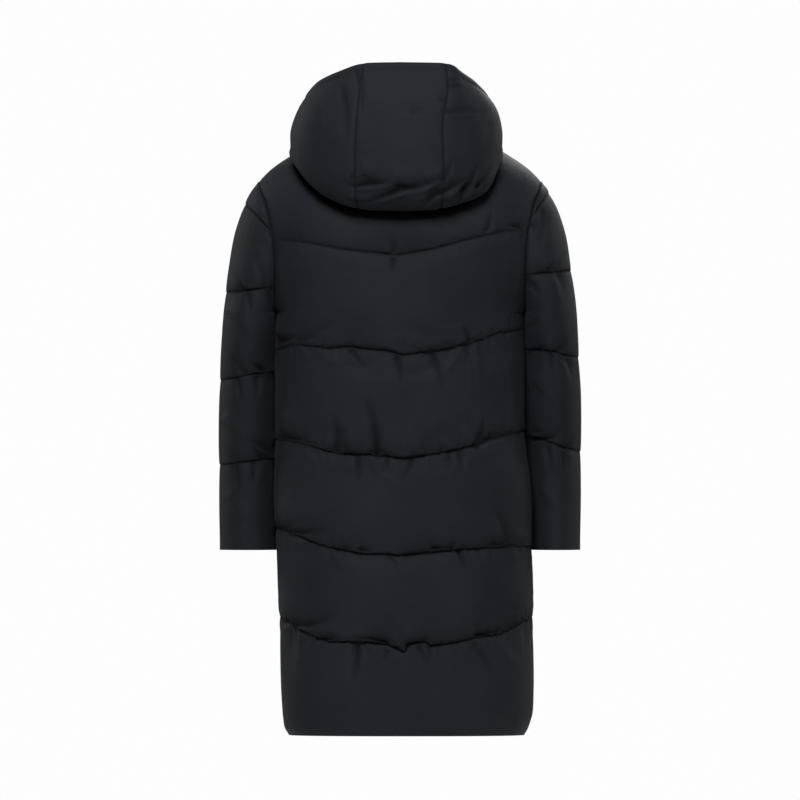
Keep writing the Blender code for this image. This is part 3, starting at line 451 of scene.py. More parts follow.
@dataclass
class Cloth:
    """A fine grid over one piece's envelope, and how far its outer skin lies off it."""

    skin: Grid  # points of the envelope: rows from the hem up, columns across
    out: Grid  # unit normals
    deep: Grid  # depth of the quilting lines below the envelope
    inner: Grid  # the plain inner skin
    line: Grid  # number of each row's channel
    up: Grid  # metres above the channel's lower line
    down: Grid  # metres below its upper line
    across: Grid  # metres along the row
    lift: Grid = field(init=False)
    late: Grid = field(init=False)
    slip: Grid = field(init=False)
    # painted shade: share by which each point's colour is painted darker, from 0 to 1
    painted_shade: Grid = field(init=False)

    def __post_init__(self) -> None:
        """Starts with the outer skin on the envelope."""
        flat = (np.zeros(self.skin.shape[:2]) for _ in range(4))
        self.lift, self.late, self.slip, self.painted_shade = flat

    def beside(self, line: int, side: float) -> tuple[Grid, Grid, Grid]:
        """Rows above a line (side 1) or below it, their distance from it and metres along them."""
        rows = self.line == (line if side > 0 else line - 1)
        return rows, (self.up if side > 0 else self.down)[rows], self.across[rows]

    def line_rows(self) -> list[int]:
        """Numbers of the rows on the quilting lines."""
        return [int(np.argmax(self.line == n)) for n in range(1, int(self.line.max()) + 1)]

    def from_sides(self) -> Grid:
        """Metres of each point from the nearer end of its row."""
        ends = (self.across[:, :1], self.across[:, -1:])
        return np.minimum(*(np.abs(self.across - end) for end in ends))

    def paint_shade(self, share: Grid) -> None:
        """Paints shade where it isn't painted as strongly yet."""
        self.painted_shade = np.maximum(self.painted_shade, share)

    def sewn_down(self, room: float) -> Grid:
        """How firmly each point is sewn down, from 0 to 1.

        Args:
            room: depth from which the cloth is free.

        Returns:
            A share for each point: 1 on the lines and edges, less where the cloth is deeper.
        """
        held = 1.0 - fade(self.deep / room)
        held[[0, -1, *self.line_rows()]] = 1.0
        held[:, [0, -1]] = 1.0
        return held

    def swell(self, share: Grid) -> None:
        """Fills the cloth out, by a share, where the body and a sleeve press on each other."""
        at = self.skin[..., 2]
        pressed = fade((at - PRESSED[0]) / 0.03) * fade((PRESSED[1] - at) / 0.05)
        self.late += 1.3 * MM * pressed * share

    def shade(self, work: Quilting, rng: np.random.Generator) -> None:
        """Paints shade into the valleys of the quilting lines and under the channel above each,
        where little light gets in.

        Args:
            work: how the piece is quilted.
            rng: seeded source of the unevenness.
        """
        for line, strength in work.shades.items():
            for side, reach in ((1.0, 1.5 * work.valley_shade), (-1.0, 0.8 * work.valley_shade)):
                rows, distance, run = self.beside(line, side)
                patch = patchy(run, 0.021, 0.8, rng)
                found = strength * patch * hill(distance, reach * (0.4 + patch))
                if side > 0:
                    patch = patchy(run, 0.021, 0.1, rng, 2)
                    ends = 0.6 + 0.4 * np.abs(run) / np.abs(run).max()
                    under = hill(distance, 6.0 * MM + 18.0 * MM * patch * ends)
                    found = np.maximum(found, strength**2 * work.over * patch * ends * under)
                found = found * fade(self.deep[rows] / (0.6 * MM))
                self.painted_shade[rows] = np.maximum(self.painted_shade[rows], found)

    def pucker(
        self, line: int, side: float, strength: float, spec: Pucker, rng: np.random.Generator
    ) -> None:
        """Gathers the cloth along a quilting line.

        Args:
            line: number of the line.
            side: 1 for the channel above it, -1 for the one below.
            strength: share of the puckers' depth.
            spec: size and spacing of the puckers.
            rng: seeded source of their unevenness.
        """
        inside, d, a = self.beside(line, side)
        close = d.min(axis=1) < 2.2 * spec.reach
        rows, d, a = np.flatnonzero(inside)[close], d[close], a[close]
        if not len(rows):
            return
        span = (float(a.min()), float(a.max()))
        count = int((span[1] - span[0]) / spec.spacing)
        swell = rng.uniform(0.25, 1.0, count // 7 + 3)
        swell = np.interp(np.linspace(0, 1, count), np.linspace(0, 1, len(swell)), swell)
        total = np.zeros_like(d)
        for k in range(count):
            at = span[0] + (k + 0.5 + rng.uniform(-0.42, 0.42)) * spec.spacing
            depth = spec.depth * strength * swell[k] * rng.uniform(-1.0, 0.45) * 1.5
            wide = spec.width * rng.uniform(0.6, 1.5)
            reach = spec.reach * rng.uniform(0.4, 1.5) * (0.5 + swell[k])
            lean = rng.uniform(-0.45, 0.45)
            bell = hill(a - at - lean * d, wide * (1.0 + d / (2.0 * reach)))
            total += depth * bell * np.exp(-((d / reach) ** 1.5))
        room = fade(self.deep[rows] / (5.0 * MM))
        self.lift[rows] += total * (1.0 - np.exp(-d / (2.5 * MM))) * room

    def gather(self, work: Quilting, rng: np.random.Generator) -> None:
        """Quilts the skin, gathers it along its lines and lets it hang over them.

        Args:
            work: how the piece is quilted.
            rng: seeded source of the unevenness.
        """
        share = self.up / np.maximum(self.up + self.down, 1e-9)
        share = 1.0 - (1.0 - share) ** (1.0 + work.lean)
        pillow = np.clip(4.0 * share * (1.0 - share), 0.0, 1.0) ** work.power
        self.lift -= self.deep * (1.0 - pillow)
        for line, strength in work.gathers.items():
            self.pucker(line, 1.0, strength, work.above, rng)
            self.pucker(line, -1.0, strength, work.below, rng)
        for line, amount in work.droops.items():
            rows = self.line == line
            d = self.up[rows] / work.reach
            full = fade(self.deep[rows] / (3.0 * MM))
            self.slip[rows] -= amount * MM * d * np.exp(1.0 - d) * full

    def fold(
        self,
        folds: Folds,
        face: Face,
        keep: Grid | float = 1.0,
        mark: float = 0.8,
        clear: Grid | float = 1.0,
    ) -> None:
        """Presses the given creases into the side that looks back or front.

        Args:
            folds: rows of start x and z, end x and z, half width and depth in millimetres.
            face: the side that takes them.
            keep: share of their depth at each point.
            mark: how strongly a deep crease is painted with shade.
            clear: share of their depth beside the quilting lines, which keep their own form.
        """
        facing = fade((self.out[..., 1] * face.value + 0.05) / 0.35) * keep
        x, z = self.skin[..., 0], self.skin[..., 2]
        for row in folds:
            x0, z0, x1, z1, wide, depth = (value * MM for value in row)
            way = np.array([x1 - x0, z1 - z0])
            length = float(np.hypot(*way))
            way = way / length
            along = (x - x0) * way[0] + (z - z0) * way[1]
            t = along / length
            bow = 0.05 * length * np.sin(np.pi * np.clip(t, 0.0, 1.0))
            off = (x - x0) * way[1] - (z - z0) * way[0] + bow * np.sign(depth * way[1] + 1e-9)
            above = -off * np.sign(way[0] + 1e-9)
            steep = 0.55 * abs(way[0])
            off = off / (wide * (1.0 - 0.4 * np.clip(t, 0.0, 1.0)))
            off = off / np.where(above > 0, 1.0 + steep, 1.0 - steep)
            crest = hill(off - 1.7, 1.2) + 0.5 * hill(off + 1.8, 1.1)
            bell = np.exp(-(np.abs(off) ** 1.7)) - 0.38 * crest
            tail = np.clip(1.0 - t, 0.0, 1.0) ** 0.8 * fade(1.0 + 5.0 * t)
            self.late -= depth * bell * tail * facing * clear
            if depth > 0:
                # Painted shade in a trough, darker the deeper it is
                dark = np.clip(bell, 0.0, 1.0) ** 1.3 * tail * facing * min(depth / (8 * MM), 1.0)
                self.paint_shade(np.minimum(dark * mark, 0.85))

    def looseness(self, work: Quilting, rng: np.random.Generator) -> Grid:
        """How loose the cloth lies beside each quilting line, uneven along it.

        Args:
            work: how the piece is quilted.
            rng: seeded source of the unevenness.

        Returns:
            A share for each point, from 0 to 1.
        """
        loose = np.zeros(self.skin.shape[:2])
        for line, pair in work.loose.items():
            for side, strength in zip((1.0, -1.0), pair):
                rows, distance, run = self.beside(line, side)
                patch = patchy(run, 0.034, 0.0, rng, power=1.6)
                found = strength * patch * fade(1.0 - distance / work.loose_reach)
                loose[rows] = np.maximum(loose[rows], found)
        return loose

    def seam(self, distance: Grid, depth: Grid | float, reach: float) -> None:
        """Draws the skin in by a depth along a seam, which each point is at a distance from."""
        self.lift -= depth * np.exp(-distance / reach)

    def outer(
        self, rest: "Rest | None" = None, held: Grid | None = None, loose: Grid | None = None
    ) -> Grid:
        """Points of the finished outer skin.

        Args:
            rest: how the cloth eases into place, where it does.
            held: how firmly each point is sewn down, from 0 to 1.
            loose: how loose the cloth lies at each point, from 0 to 1.

        Returns:
            A grid of points.
        """
        low = -(self.deep + WALL - LEAST)
        lift = np.clip(self.lift, low, 4.0 * MM)
        along = unit(np.gradient(self.skin, axis=0))
        start = self.skin + self.out * lift[..., None] + along * self.slip[..., None]
        moved = np.zeros_like(start)
        if rest is not None:
            moved = rest.settle(start, self.out, held, loose) - start
            far = np.linalg.norm(moved, axis=-1, keepdims=True)
            cap = rest.cap * (0.1 + 0.9 * fade(self.deep / (8.0 * MM)))[..., None]
            moved *= np.minimum(1.0, cap / np.maximum(far, 1e-9))
        rise = (moved * self.out).sum(axis=-1)
        wanted = lift + rise + self.late
        over = np.clip(wanted - 2.0 * MM, 0.0, None)
        fixed = np.maximum(wanted - over + over / (1.0 + over / (2.0 * MM)), low) - lift
        return start + moved + self.out * (fixed - rise)[..., None]


@dataclass(frozen=True)
class Rest:
    """A short cloth simulation that lets the outer skin buckle between its seams."""

    slack: float = 0.09  # share by which the loosest cloth is longer than its seam
    pressure: float = 1.2
    bending: float = 0.06
    stiffness: float = 14.0
    shear: float = 6.0
    frames: int = 14
    cap: float = 7.0 * MM  # the furthest that a point may move
    levels: int = 20  # steps of a vertex group's weights

    def settle(self, points: Grid, out: Grid, held: Grid, loose: Grid) -> Grid:
        """Runs the simulation.

        Args:
            points: where the cloth starts.
            out: unit normals.
            held: how firmly each point is sewn down, from 0 to 1.
            loose: share of the slack at each point, from 0 to 1.

        Returns:
            Where each point comes to rest.
        """
        rows, columns = points.shape[:2]
        number = np.arange(rows * columns).reshape(rows, columns)
        corners = [number[:-1, :-1], number[:-1, 1:], number[1:, 1:], number[1:, :-1]]
        mid_row, mid = rows // 2, columns // 2
        normal = np.cross(
            points[mid_row, mid + 1] - points[mid_row, mid],
            points[mid_row + 1, mid] - points[mid_row, mid],
        )
        if normal @ out[mid_row, mid] < 0:
            corners = corners[::-1]
        mesh = bpy.data.meshes.new("settling")
        faces = np.stack(corners, axis=-1).reshape(-1, 4)
        mesh.from_pydata(points.reshape(-1, 3).tolist(), [], faces.tolist())
        cloth = put("settling", mesh)
        for name, weights in (("held", held), ("tight", 1.0 - loose)):
            group = cloth.vertex_groups.new(name=name)
            stepped = np.round(np.clip(weights, 0.0, 1.0).ravel() * self.levels).astype(int)
            for level in range(1, self.levels + 1):
                found = np.flatnonzero(stepped == level).tolist()
                group.add(found, level / self.levels, "REPLACE")
        modifier = cloth.modifiers.new("settle", "CLOTH")
        sizes = modifier.settings
        sizes.quality = 4
        sizes.tension_stiffness = sizes.compression_stiffness = self.stiffness
        sizes.shear_stiffness = self.shear
        sizes.bending_stiffness = self.bending
        sizes.vertex_group_mass = "held"
        sizes.vertex_group_shrink = "tight"
        sizes.shrink_min = -self.slack
        sizes.shrink_max = 0.0
        sizes.use_pressure = True
        sizes.uniform_pressure_force = self.pressure
        sizes.effector_weights.gravity = 0.0
        modifier.collision_settings.use_collision = False
        modifier.point_cache.frame_start = 1
        modifier.point_cache.frame_end = self.frames
        scene = bpy.context.scene
        for step in range(1, self.frames + 1):
            scene.frame_set(step)
        seen = cloth.evaluated_get(bpy.context.evaluated_depsgraph_get())
        found = np.empty(rows * columns * 3, dtype=np.float32)
        seen.data.vertices.foreach_get("co", found)
        bpy.data.objects.remove(cloth, do_unlink=True)
        scene.frame_set(1)
        return found.reshape(rows, columns, 3).astype(float)


def grid_normals(points: Grid, outward: Grid) -> Grid:
    """Unit normals of a grid.

    Args:
        points: rows and columns of points.
        outward: roughly which way is out at each of them.

    Returns:
        One unit vector for each point.
    """
    found = unit(np.cross(np.gradient(points, axis=1), np.gradient(points, axis=0)))
    found[(found * outward).sum(axis=-1) < 0] *= -1.0
    return found


def kept_out(points: Grid, axis: int, side: float, least: Grid | float) -> Grid:
    """The same grid, its points moved at least so far out along an axis, on one side of 0."""
    points[..., axis] = side * np.maximum(side * points[..., axis], least)
    return points


def run_length(points: Grid, axis: int) -> Grid:
    """Metres along a grid's rows (axis 1) or columns (axis 0) from their start."""
    step = np.linalg.norm(np.diff(points, axis=axis), axis=-1)
    start = np.zeros_like(np.take(step, [0], axis=axis))
    return np.concatenate([start, np.cumsum(step, axis=axis)], axis=axis)


# ---------------------------------------------------------------- finishes


class Sock:
    """A node's output that takes part in sums."""

    def __init__(self, nodes: "Nodes", socket: bpy.types.NodeSocket) -> None:
        """Wraps an output."""
        self.nodes, self.socket = nodes, socket

    def also(self, name: str) -> "Sock":
        """Another output of the same node."""
        return Sock(self.nodes, self.socket.node.outputs[name])

    def __add__(self, other: "Sock | float") -> "Sock":
        """Sum."""
        return self.nodes.math("ADD", self, other)

    __radd__ = __add__

    def __mul__(self, other: "Sock | float") -> "Sock":
        """Product."""
        return self.nodes.math("MULTIPLY", self, other)

    __rmul__ = __mul__

    def __sub__(self, other: "Sock | float") -> "Sock":
        """Difference."""
        return self.nodes.math("SUBTRACT", self, other)

    def __rsub__(self, other: float) -> "Sock":
        """Difference with a plain number first."""
        return self.nodes.math("SUBTRACT", other, self)

    def __pow__(self, other: float) -> "Sock":
        """Power."""
        return self.nodes.math("POWER", self, other)


class Nodes:
    """A tree of nodes and the one way of adding to it."""

    def __init__(self, tree: bpy.types.NodeTree) -> None:
        """Takes the tree."""
        self.tree = tree

    def node(
        self,
        kind: str,
        settings: dict | None = None,
        *values: object,
        output: str | int = 0,
        **inputs: object,
    ) -> Sock:
        """Adds a node.

        Args:
            kind: its type.
            settings: its properties, set first.
            values: values or links of its first sockets, in order.
            output: the output that is wanted.
            inputs: values or links of sockets by name, with underscores for spaces.

        Returns:
            That output.
        """
        made = self.tree.nodes.new(kind)
        for name, value in (settings or {}).items():
            setattr(made, name, value)
        for place, value in enumerate(values):
            self.feed(made.inputs[place], value)
        for name, value in inputs.items():
            self.feed(made.inputs[name.replace("_", " ")], value)
        return Sock(self, made.outputs[output])

    def feed(self, socket: bpy.types.NodeSocket, value: object) -> None:
        """Links or sets a socket."""
        if isinstance(value, Sock):
            self.tree.links.new(value.socket, socket)
        else:
            socket.default_value = value

    def math(self, operation: str, a: Sock | float, b: Sock | float = 0.0) -> Sock:
        """A Math node on two values."""
        return self.node("ShaderNodeMath", {"operation": operation}, a, b)


class Shader(Nodes):
    """One material's nodes."""

    def __init__(self, name: str) -> None:
        """Starts a material with a bare Principled shader."""
        self.material = bpy.data.materials.new(name)
        self.material.use_nodes = True
        super().__init__(self.material.node_tree)
        self.surface = self.tree.nodes["Principled BSDF"]

    def place(self) -> Sock:
        """Each point's place, in metres."""
        return self.node("ShaderNodeTexCoord", output="Object")

    def waves(self, across: float, along: float) -> tuple[Sock, Sock]:
        """Sines across and along the cloth, of so many radians in a metre."""
        metres = self.node("ShaderNodeUVMap", {"uv_map": "cloth"})
        x = self.node("ShaderNodeSeparateXYZ", None, metres)
        return self.math("SINE", x * across), self.math("SINE", x.also("Y") * along)

    def mark(self, name: str) -> Sock:
        """A share that is stored on the mesh."""
        return self.node("ShaderNodeAttribute", {"attribute_name": name}, output="Fac")

    def colours(
        self, share: Sock, a: Sock | tuple[float, ...], b: Sock | tuple[float, ...]
    ) -> Sock:
        """A colour between two."""
        mixed = self.node("ShaderNodeMix", {"data_type": "RGBA"}, share, output=2)
        for place, colour in ((6, a), (7, b)):
            colour = colour if isinstance(colour, Sock) else (*colour, 1.0)
            self.feed(mixed.socket.node.inputs[place], colour)
        return mixed

    def noise(self, vector: Sock, scale: float, detail: float = 2.0) -> Sock:
        """Noise of a number of waves in a metre, from 0 to 1."""
        return self.node("ShaderNodeTexNoise", Vector=vector, Scale=scale, Detail=detail)

    def steps(self, value: Sock, low: float, high: float) -> Sock:
        """0 up to low, 1 from high, and a smooth rise between them."""
        smooth = {"interpolation_type": "SMOOTHSTEP"}
        return self.node("ShaderNodeMapRange", smooth, Value=value, From_Min=low, From_Max=high)

    def bump(self, height: Sock, depth: float, strength: float, **under: Sock) -> Sock:
        """A surface normal from a height that runs from 0 to 1."""
        sizes = {"Distance": depth, "Strength": strength}
        return self.node("ShaderNodeBump", Height=height, **sizes, **under)

    def set(self, **inputs: object) -> None:
        """Links or sets the surface's own sockets."""
        for name, value in inputs.items():
            self.feed(self.surface.inputs[name.replace("_", " ")], value)


def lighter(colour: Colour, times: float) -> Colour:
    """The colour made lighter by a factor."""
    return tuple(value * times for value in colour)


@dataclass(frozen=True)
class PufferCloth:
    """Matte woven polyester of a near-black charcoal."""

    name: str = "puffer_cloth"
    light: Colour = (0.0156, 0.0170, 0.0202)
    dark: Colour = (0.0116, 0.0127, 0.0153)
    # colour of the painted shade in seams, creases and under the hood
    valley_shade: Colour = (0.0022, 0.0024, 0.0029)
    sheen: Colour = (0.55, 0.57, 0.62)
    thread: float = 0.55 * MM

    def make(self) -> bpy.types.Material:
        """The finish as a material."""
        s = Shader(self.name)
        turns = math.pi / self.thread
        warp, weft = (wave**2.0 for wave in s.waves(turns, turns))
        weave = warp * (1.0 - weft) + weft * (1.0 - warp)
        spot = s.place()
        cloudy, crumple = s.noise(spot, 9.0, 3.0), s.noise(spot, 62.0, 3.0)
        fine = s.noise(spot, 900.0, 1.0)
        shade = s.steps(cloudy * 0.6 + fine * 0.4, 0.36, 0.64)
        painted_shade, rim = s.mark("painted_shade"), s.mark("cut_edge")
        # Painted shade: the colour goes to the valley shade colour as the painted shade share rises
        s.set(Base_Color=s.colours(painted_shade, s.colours(shade, self.dark, self.light), self.valley_shade))
        s.set(Roughness=0.64 + cloudy * 0.10 + fine * 0.06 + painted_shade * 0.2 + rim * 0.5)
        s.set(Specular_IOR_Level=0.10, Sheen_Weight=0.03, Sheen_Roughness=0.45)
        s.set(Sheen_Tint=(*self.sheen, 1.0))
        grain = s.bump(weave, 0.05 * MM, 0.5)
        s.set(Normal=s.bump(crumple, 1.6 * MM, 0.30, Normal=grain))
        return s.material


@dataclass(frozen=True)
class WovenTape:
    """Ribbed woven tape beside the zip."""

    name: str = "woven_tape"
    colour: Colour = (0.0075, 0.0080, 0.0095)
    rib: float = 1.1 * MM

    def make(self) -> bpy.types.Material:
        """The finish as a material."""
        s = Shader(self.name)
        ribs, picks = s.waves(math.tau / self.rib, math.tau / (self.rib * 0.7))
        weave = (ribs * picks) * 0.5 + 0.5
        s.set(Base_Color=s.colours(weave, self.colour, lighter(self.colour, 1.6)))
        s.set(Roughness=0.78 + weave * 0.1, Specular_IOR_Level=0.12)
        s.set(Normal=s.bump(weave, 0.15 * MM, 0.7))
        return s.material


@dataclass(frozen=True)
class Grained:
    """A dark surface with a fine grain in its colour, gloss and relief."""

    name: str
    colour: Colour
    grain: tuple[float, float]  # waves in a metre, and their detail
    paler: float  # how many times paler its high spots are
    rough: tuple[float, float]  # roughness, and what the high spots add to it
    relief: tuple[float, float]  # depth in metres, and strength
    specular: float = 0.5

    def make(self) -> bpy.types.Material:
        """The finish as a material."""
        s = Shader(self.name)
        grain = s.noise(s.place(), *self.grain)
        s.set(Base_Color=s.colours(grain, self.colour, lighter(self.colour, self.paler)))
        s.set(Roughness=self.rough[0] + grain * self.rough[1], Specular_IOR_Level=self.specular)
        s.set(Normal=s.bump(grain, *self.relief))
        return s.material


class Finish(Enum):
    """The grained finishes: polyester sewing thread, and the satin plastic of the zip's teeth."""

    THREAD = Grained(
        name="sewing_thread",
        colour=(0.013, 0.0135, 0.015),
        grain=(2600.0, 1.0),
        paler=1.7,
        rough=(0.42, 0.2),
        relief=(0.1 * MM, 0.5),
        specular=0.15,
    )
    TEETH = Grained(
        name="moulded_teeth",
        colour=(0.012, 0.012, 0.013),
        grain=(700.0, 2.0),
        paler=1.5,
        rough=(0.34, 0.16),
        relief=(0.05 * MM, 0.4),
    )


@dataclass(frozen=True)
class BlackMetal:
    """Satin black enamel on cast metal, a little rubbed."""

    name: str = "black_enamel"
    colour: Colour = (0.014, 0.0145, 0.016)
    bare: Colour = (0.09, 0.09, 0.092)

    def make(self) -> bpy.types.Material:
        """The finish as a material."""
        s = Shader(self.name)
        spot = s.place()
        cast = s.noise(spot, 1500.0, 2.0)
        rubbed = s.steps(s.noise(spot, 420.0, 3.0), 0.66, 0.74)
        s.set(Base_Color=s.colours(rubbed, self.colour, self.bare), Roughness=0.28 + cast * 0.16)
        s.set(Metallic=rubbed * 0.6 + 0.25, Normal=s.bump(cast, 0.08 * MM, 0.35))
        return s.material


@dataclass(frozen=True)
class PaleFloor:
    """Plain pale studio floor."""

    name: str = "pale_floor"
    colour: Colour = (0.70, 0.70, 0.70)
    glow: float = 0.18

    def make(self) -> bpy.types.Material:
        """The finish as a material."""
        s = Shader(self.name)
        s.set(Base_Color=(*self.colour, 1.0), Roughness=0.9, Specular_IOR_Level=0.0)
        s.set(Emission_Color=WHITE, Emission_Strength=self.glow)
        return s.material


# ---------------------------------------------------------------- shells


@dataclass
class Shell:
    """A closed wall between an outer grid and a coarser inner one."""

    name: str
    outer: Grid
    inner: Grid
    open_from: int = 0  # below this row the first and last columns meet
    every: int = 4  # rows and columns between those that the inner skin keeps
    painted_shade: Grid | None = None  # share of painted shade at each outer point

    def kept(self, count: int, extra: int = 0) -> list[int]:
        """Numbers of the rows or columns that the inner skin keeps."""
        chosen = set(range(0, count, self.every)) | {count - 1, min(extra, count - 1)}
        return sorted(chosen)

    def make(self, material: bpy.types.Material) -> bpy.types.Object:
        """Builds the wall.

        Args:
            material: its finish.

        Returns:
            The finished object.
        """
        rows, columns = self.outer.shape[:2]
        number = np.arange(rows * columns).reshape(rows, columns)
        quads = np.stack(
            [number[:-1, :-1], number[:-1, 1:], number[1:, 1:], number[1:, :-1]], axis=-1
        ).reshape(-1, 4)
        faces: list[list[int]] = quads.tolist()
        kinds = [0] * len(faces)
        under = number + rows * columns
        kept_rows, kept_columns = self.kept(rows, self.open_from), self.kept(columns)
        for a, b in zip(kept_rows, kept_rows[1:]):
            for c, d in zip(kept_columns, kept_columns[1:]):
                faces.append([under[a, c], under[b, c], under[b, d], under[a, d]])
                kinds.append(1)
        for a, b in zip(kept_columns, kept_columns[1:]):
            for r in (0, rows - 1):
                top = number[r, a : b + 1].tolist()
                faces.append([*top, under[r, b], under[r, a]])
                kinds.append(2)
        for a, b in zip(kept_rows, kept_rows[1:]):
            if a < self.open_from:
                continue
            for c in (0, columns - 1):
                top = number[a : b + 1, c].tolist()
                faces.append([*top, under[b, c], under[a, c]])
                kinds.append(2)
        points = np.concatenate([self.outer.reshape(-1, 3), self.inner.reshape(-1, 3)])
        mesh = bpy.data.meshes.new(self.name)
        mesh.from_pydata(points.tolist(), [], faces)
        run = np.stack([run_length(self.outer, 1), run_length(self.outer, 0)], axis=-1)
        flat = np.tile(run.reshape(-1, 2), (2, 1))
        corners = np.empty(len(mesh.loops), dtype=np.int32)
        mesh.loops.foreach_get("vertex_index", corners)
        mesh.uv_layers.new(name="cloth").data.foreach_set("uv", flat[corners].ravel())
        mesh.attributes.new("kind", "INT", "FACE").data.foreach_set("value", kinds)
        cut = np.zeros((rows, columns))
        cut[[0, -1]] = 1.0
        cut[self.open_from :, [0, -1]] = 1.0
        # The painted shade goes on the outer skin only, as a point attribute
        painted_shade = np.zeros_like(cut) if self.painted_shade is None else self.painted_shade
        marks = {"painted_shade": [painted_shade, np.zeros_like(cut)], "cut_edge": [cut, cut]}
        for name, values in marks.items():
            mark = mesh.attributes.new(name, "FLOAT", "POINT")
            mark.data.foreach_set("value", np.stack(values).ravel())
        self.tidy(mesh)
        mesh.materials.append(material)
        return put(self.name, mesh)

    def tidy(self, mesh: bpy.types.Mesh) -> None:
        """Merges corners at one place, turns the faces outwards and keeps the rims sharp."""
        bm = bmesh.new()
        bm.from_mesh(mesh)
        bmesh.ops.delete(bm, geom=[v for v in bm.verts if not v.link_faces], context="VERTS")
        bmesh.ops.remove_doubles(bm, verts=bm.verts, dist=1e-6)
        bmesh.ops.dissolve_degenerate(bm, edges=bm.edges, dist=1e-6)
        bmesh.ops.recalc_face_normals(bm, faces=bm.faces)
        kind = bm.faces.layers.int["kind"]
        for edge in bm.edges:
            edge.smooth = len({face[kind] for face in edge.link_faces}) == 1
        for face in bm.faces:
            face.smooth = True
        bm.faces.layers.int.remove(kind)
        bm.to_mesh(mesh)
        bm.free()


def declare(
    made: bpy.types.Object,
    node: str = "",
) -> None:
    """Says what a finished piece rides on and hides the solid that it stands for.

    Args:
        made: the piece.
        node: the solid that it replaces, where it does.
    """
    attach(made, "coat")
    if node:
        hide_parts(node)
    LOG.info("%s: %d faces", made.name, len(made.data.polygons))


@dataclass
class Sewn:
    """A cloth piece of the coat: its node, its cut and the lines of stitches on it."""

    node: str
    flat: tuple[float, float]
    area: float
    stitches: list[Grid] = field(default_factory=list, init=False)

    def close(
        self, cloth: Cloth, outer: Grid, material: bpy.types.Material, first: int = 0
    ) -> None:
        """Args:
            cloth: the piece's grid.
            outer: its finished outer skin.
            material: its finish.
            first: row from which its first and last columns lie apart.
        """
        shell = Shell(self.node + "_cloth", outer, cloth.inner, first, painted_shade=cloth.painted_shade)
        declare(shell.make(material), self.node)

    def stitch_lines(self, cloth: Cloth, outer: Grid) -> None:
        """Notes a line of stitches along each quilting line."""
        self.stitches += [outer[row] + cloth.out[row] * STITCH_RISE for row in cloth.line_rows()]


def armhole_ring(height: Grid, side: str) -> tuple[Grid, Grid]:
    """The armhole's inner edge: the seam's curve drawn in by the wall.

    Args:
        height: of points on the seam.
        side: left or right.

    Returns:
        Half depth and height for each of them.
    """
    top = LINES[side][YOKE]
    reach = np.where(height < top, top - ARMPIT, SHOULDER_END - top)
    depth = ARMHOLE_DEPTH * np.sqrt(np.clip(1.0 - ((height - top) / reach) ** 2, 0.0, 1.0))
    up, away = (height - top) / reach**2, depth / ARMHOLE_DEPTH**2
    length = np.hypot(up, away)
    return np.maximum(depth - WALL * away / length, 0.0), height - WALL * up / length


# ---------------------------------------------------------------- body


BODY_QUILTING = Quilting(
    lean=0.40,
    gathers={1: 1.0, 2: 1.0, 3: 1.0, 4: 0.9, 5: 0.35},
    above=Pucker(13 * MM, 4.8 * MM, 1.2 * MM, 18 * MM),
    below=Pucker(14 * MM, 4.6 * MM, 1.4 * MM, 28 * MM),
    droops={4: 2.5, 3: 4.5, 2: 6.5, 1: 7.5},
    reach=16 * MM,
    shades={1: 1.0, 2: 1.0, 3: 0.95, 4: 0.75, 5: 0.4},
    valley_shade=2.8 * MM,
    over=1.0,
    loose={5: (0.25, 0.3), 4: (0.6, 0.8), 3: (0.8, 1.0), 2: (0.9, 0.8), 1: (1.0, 0.9)},
    loose_reach=36.0 * MM,
)


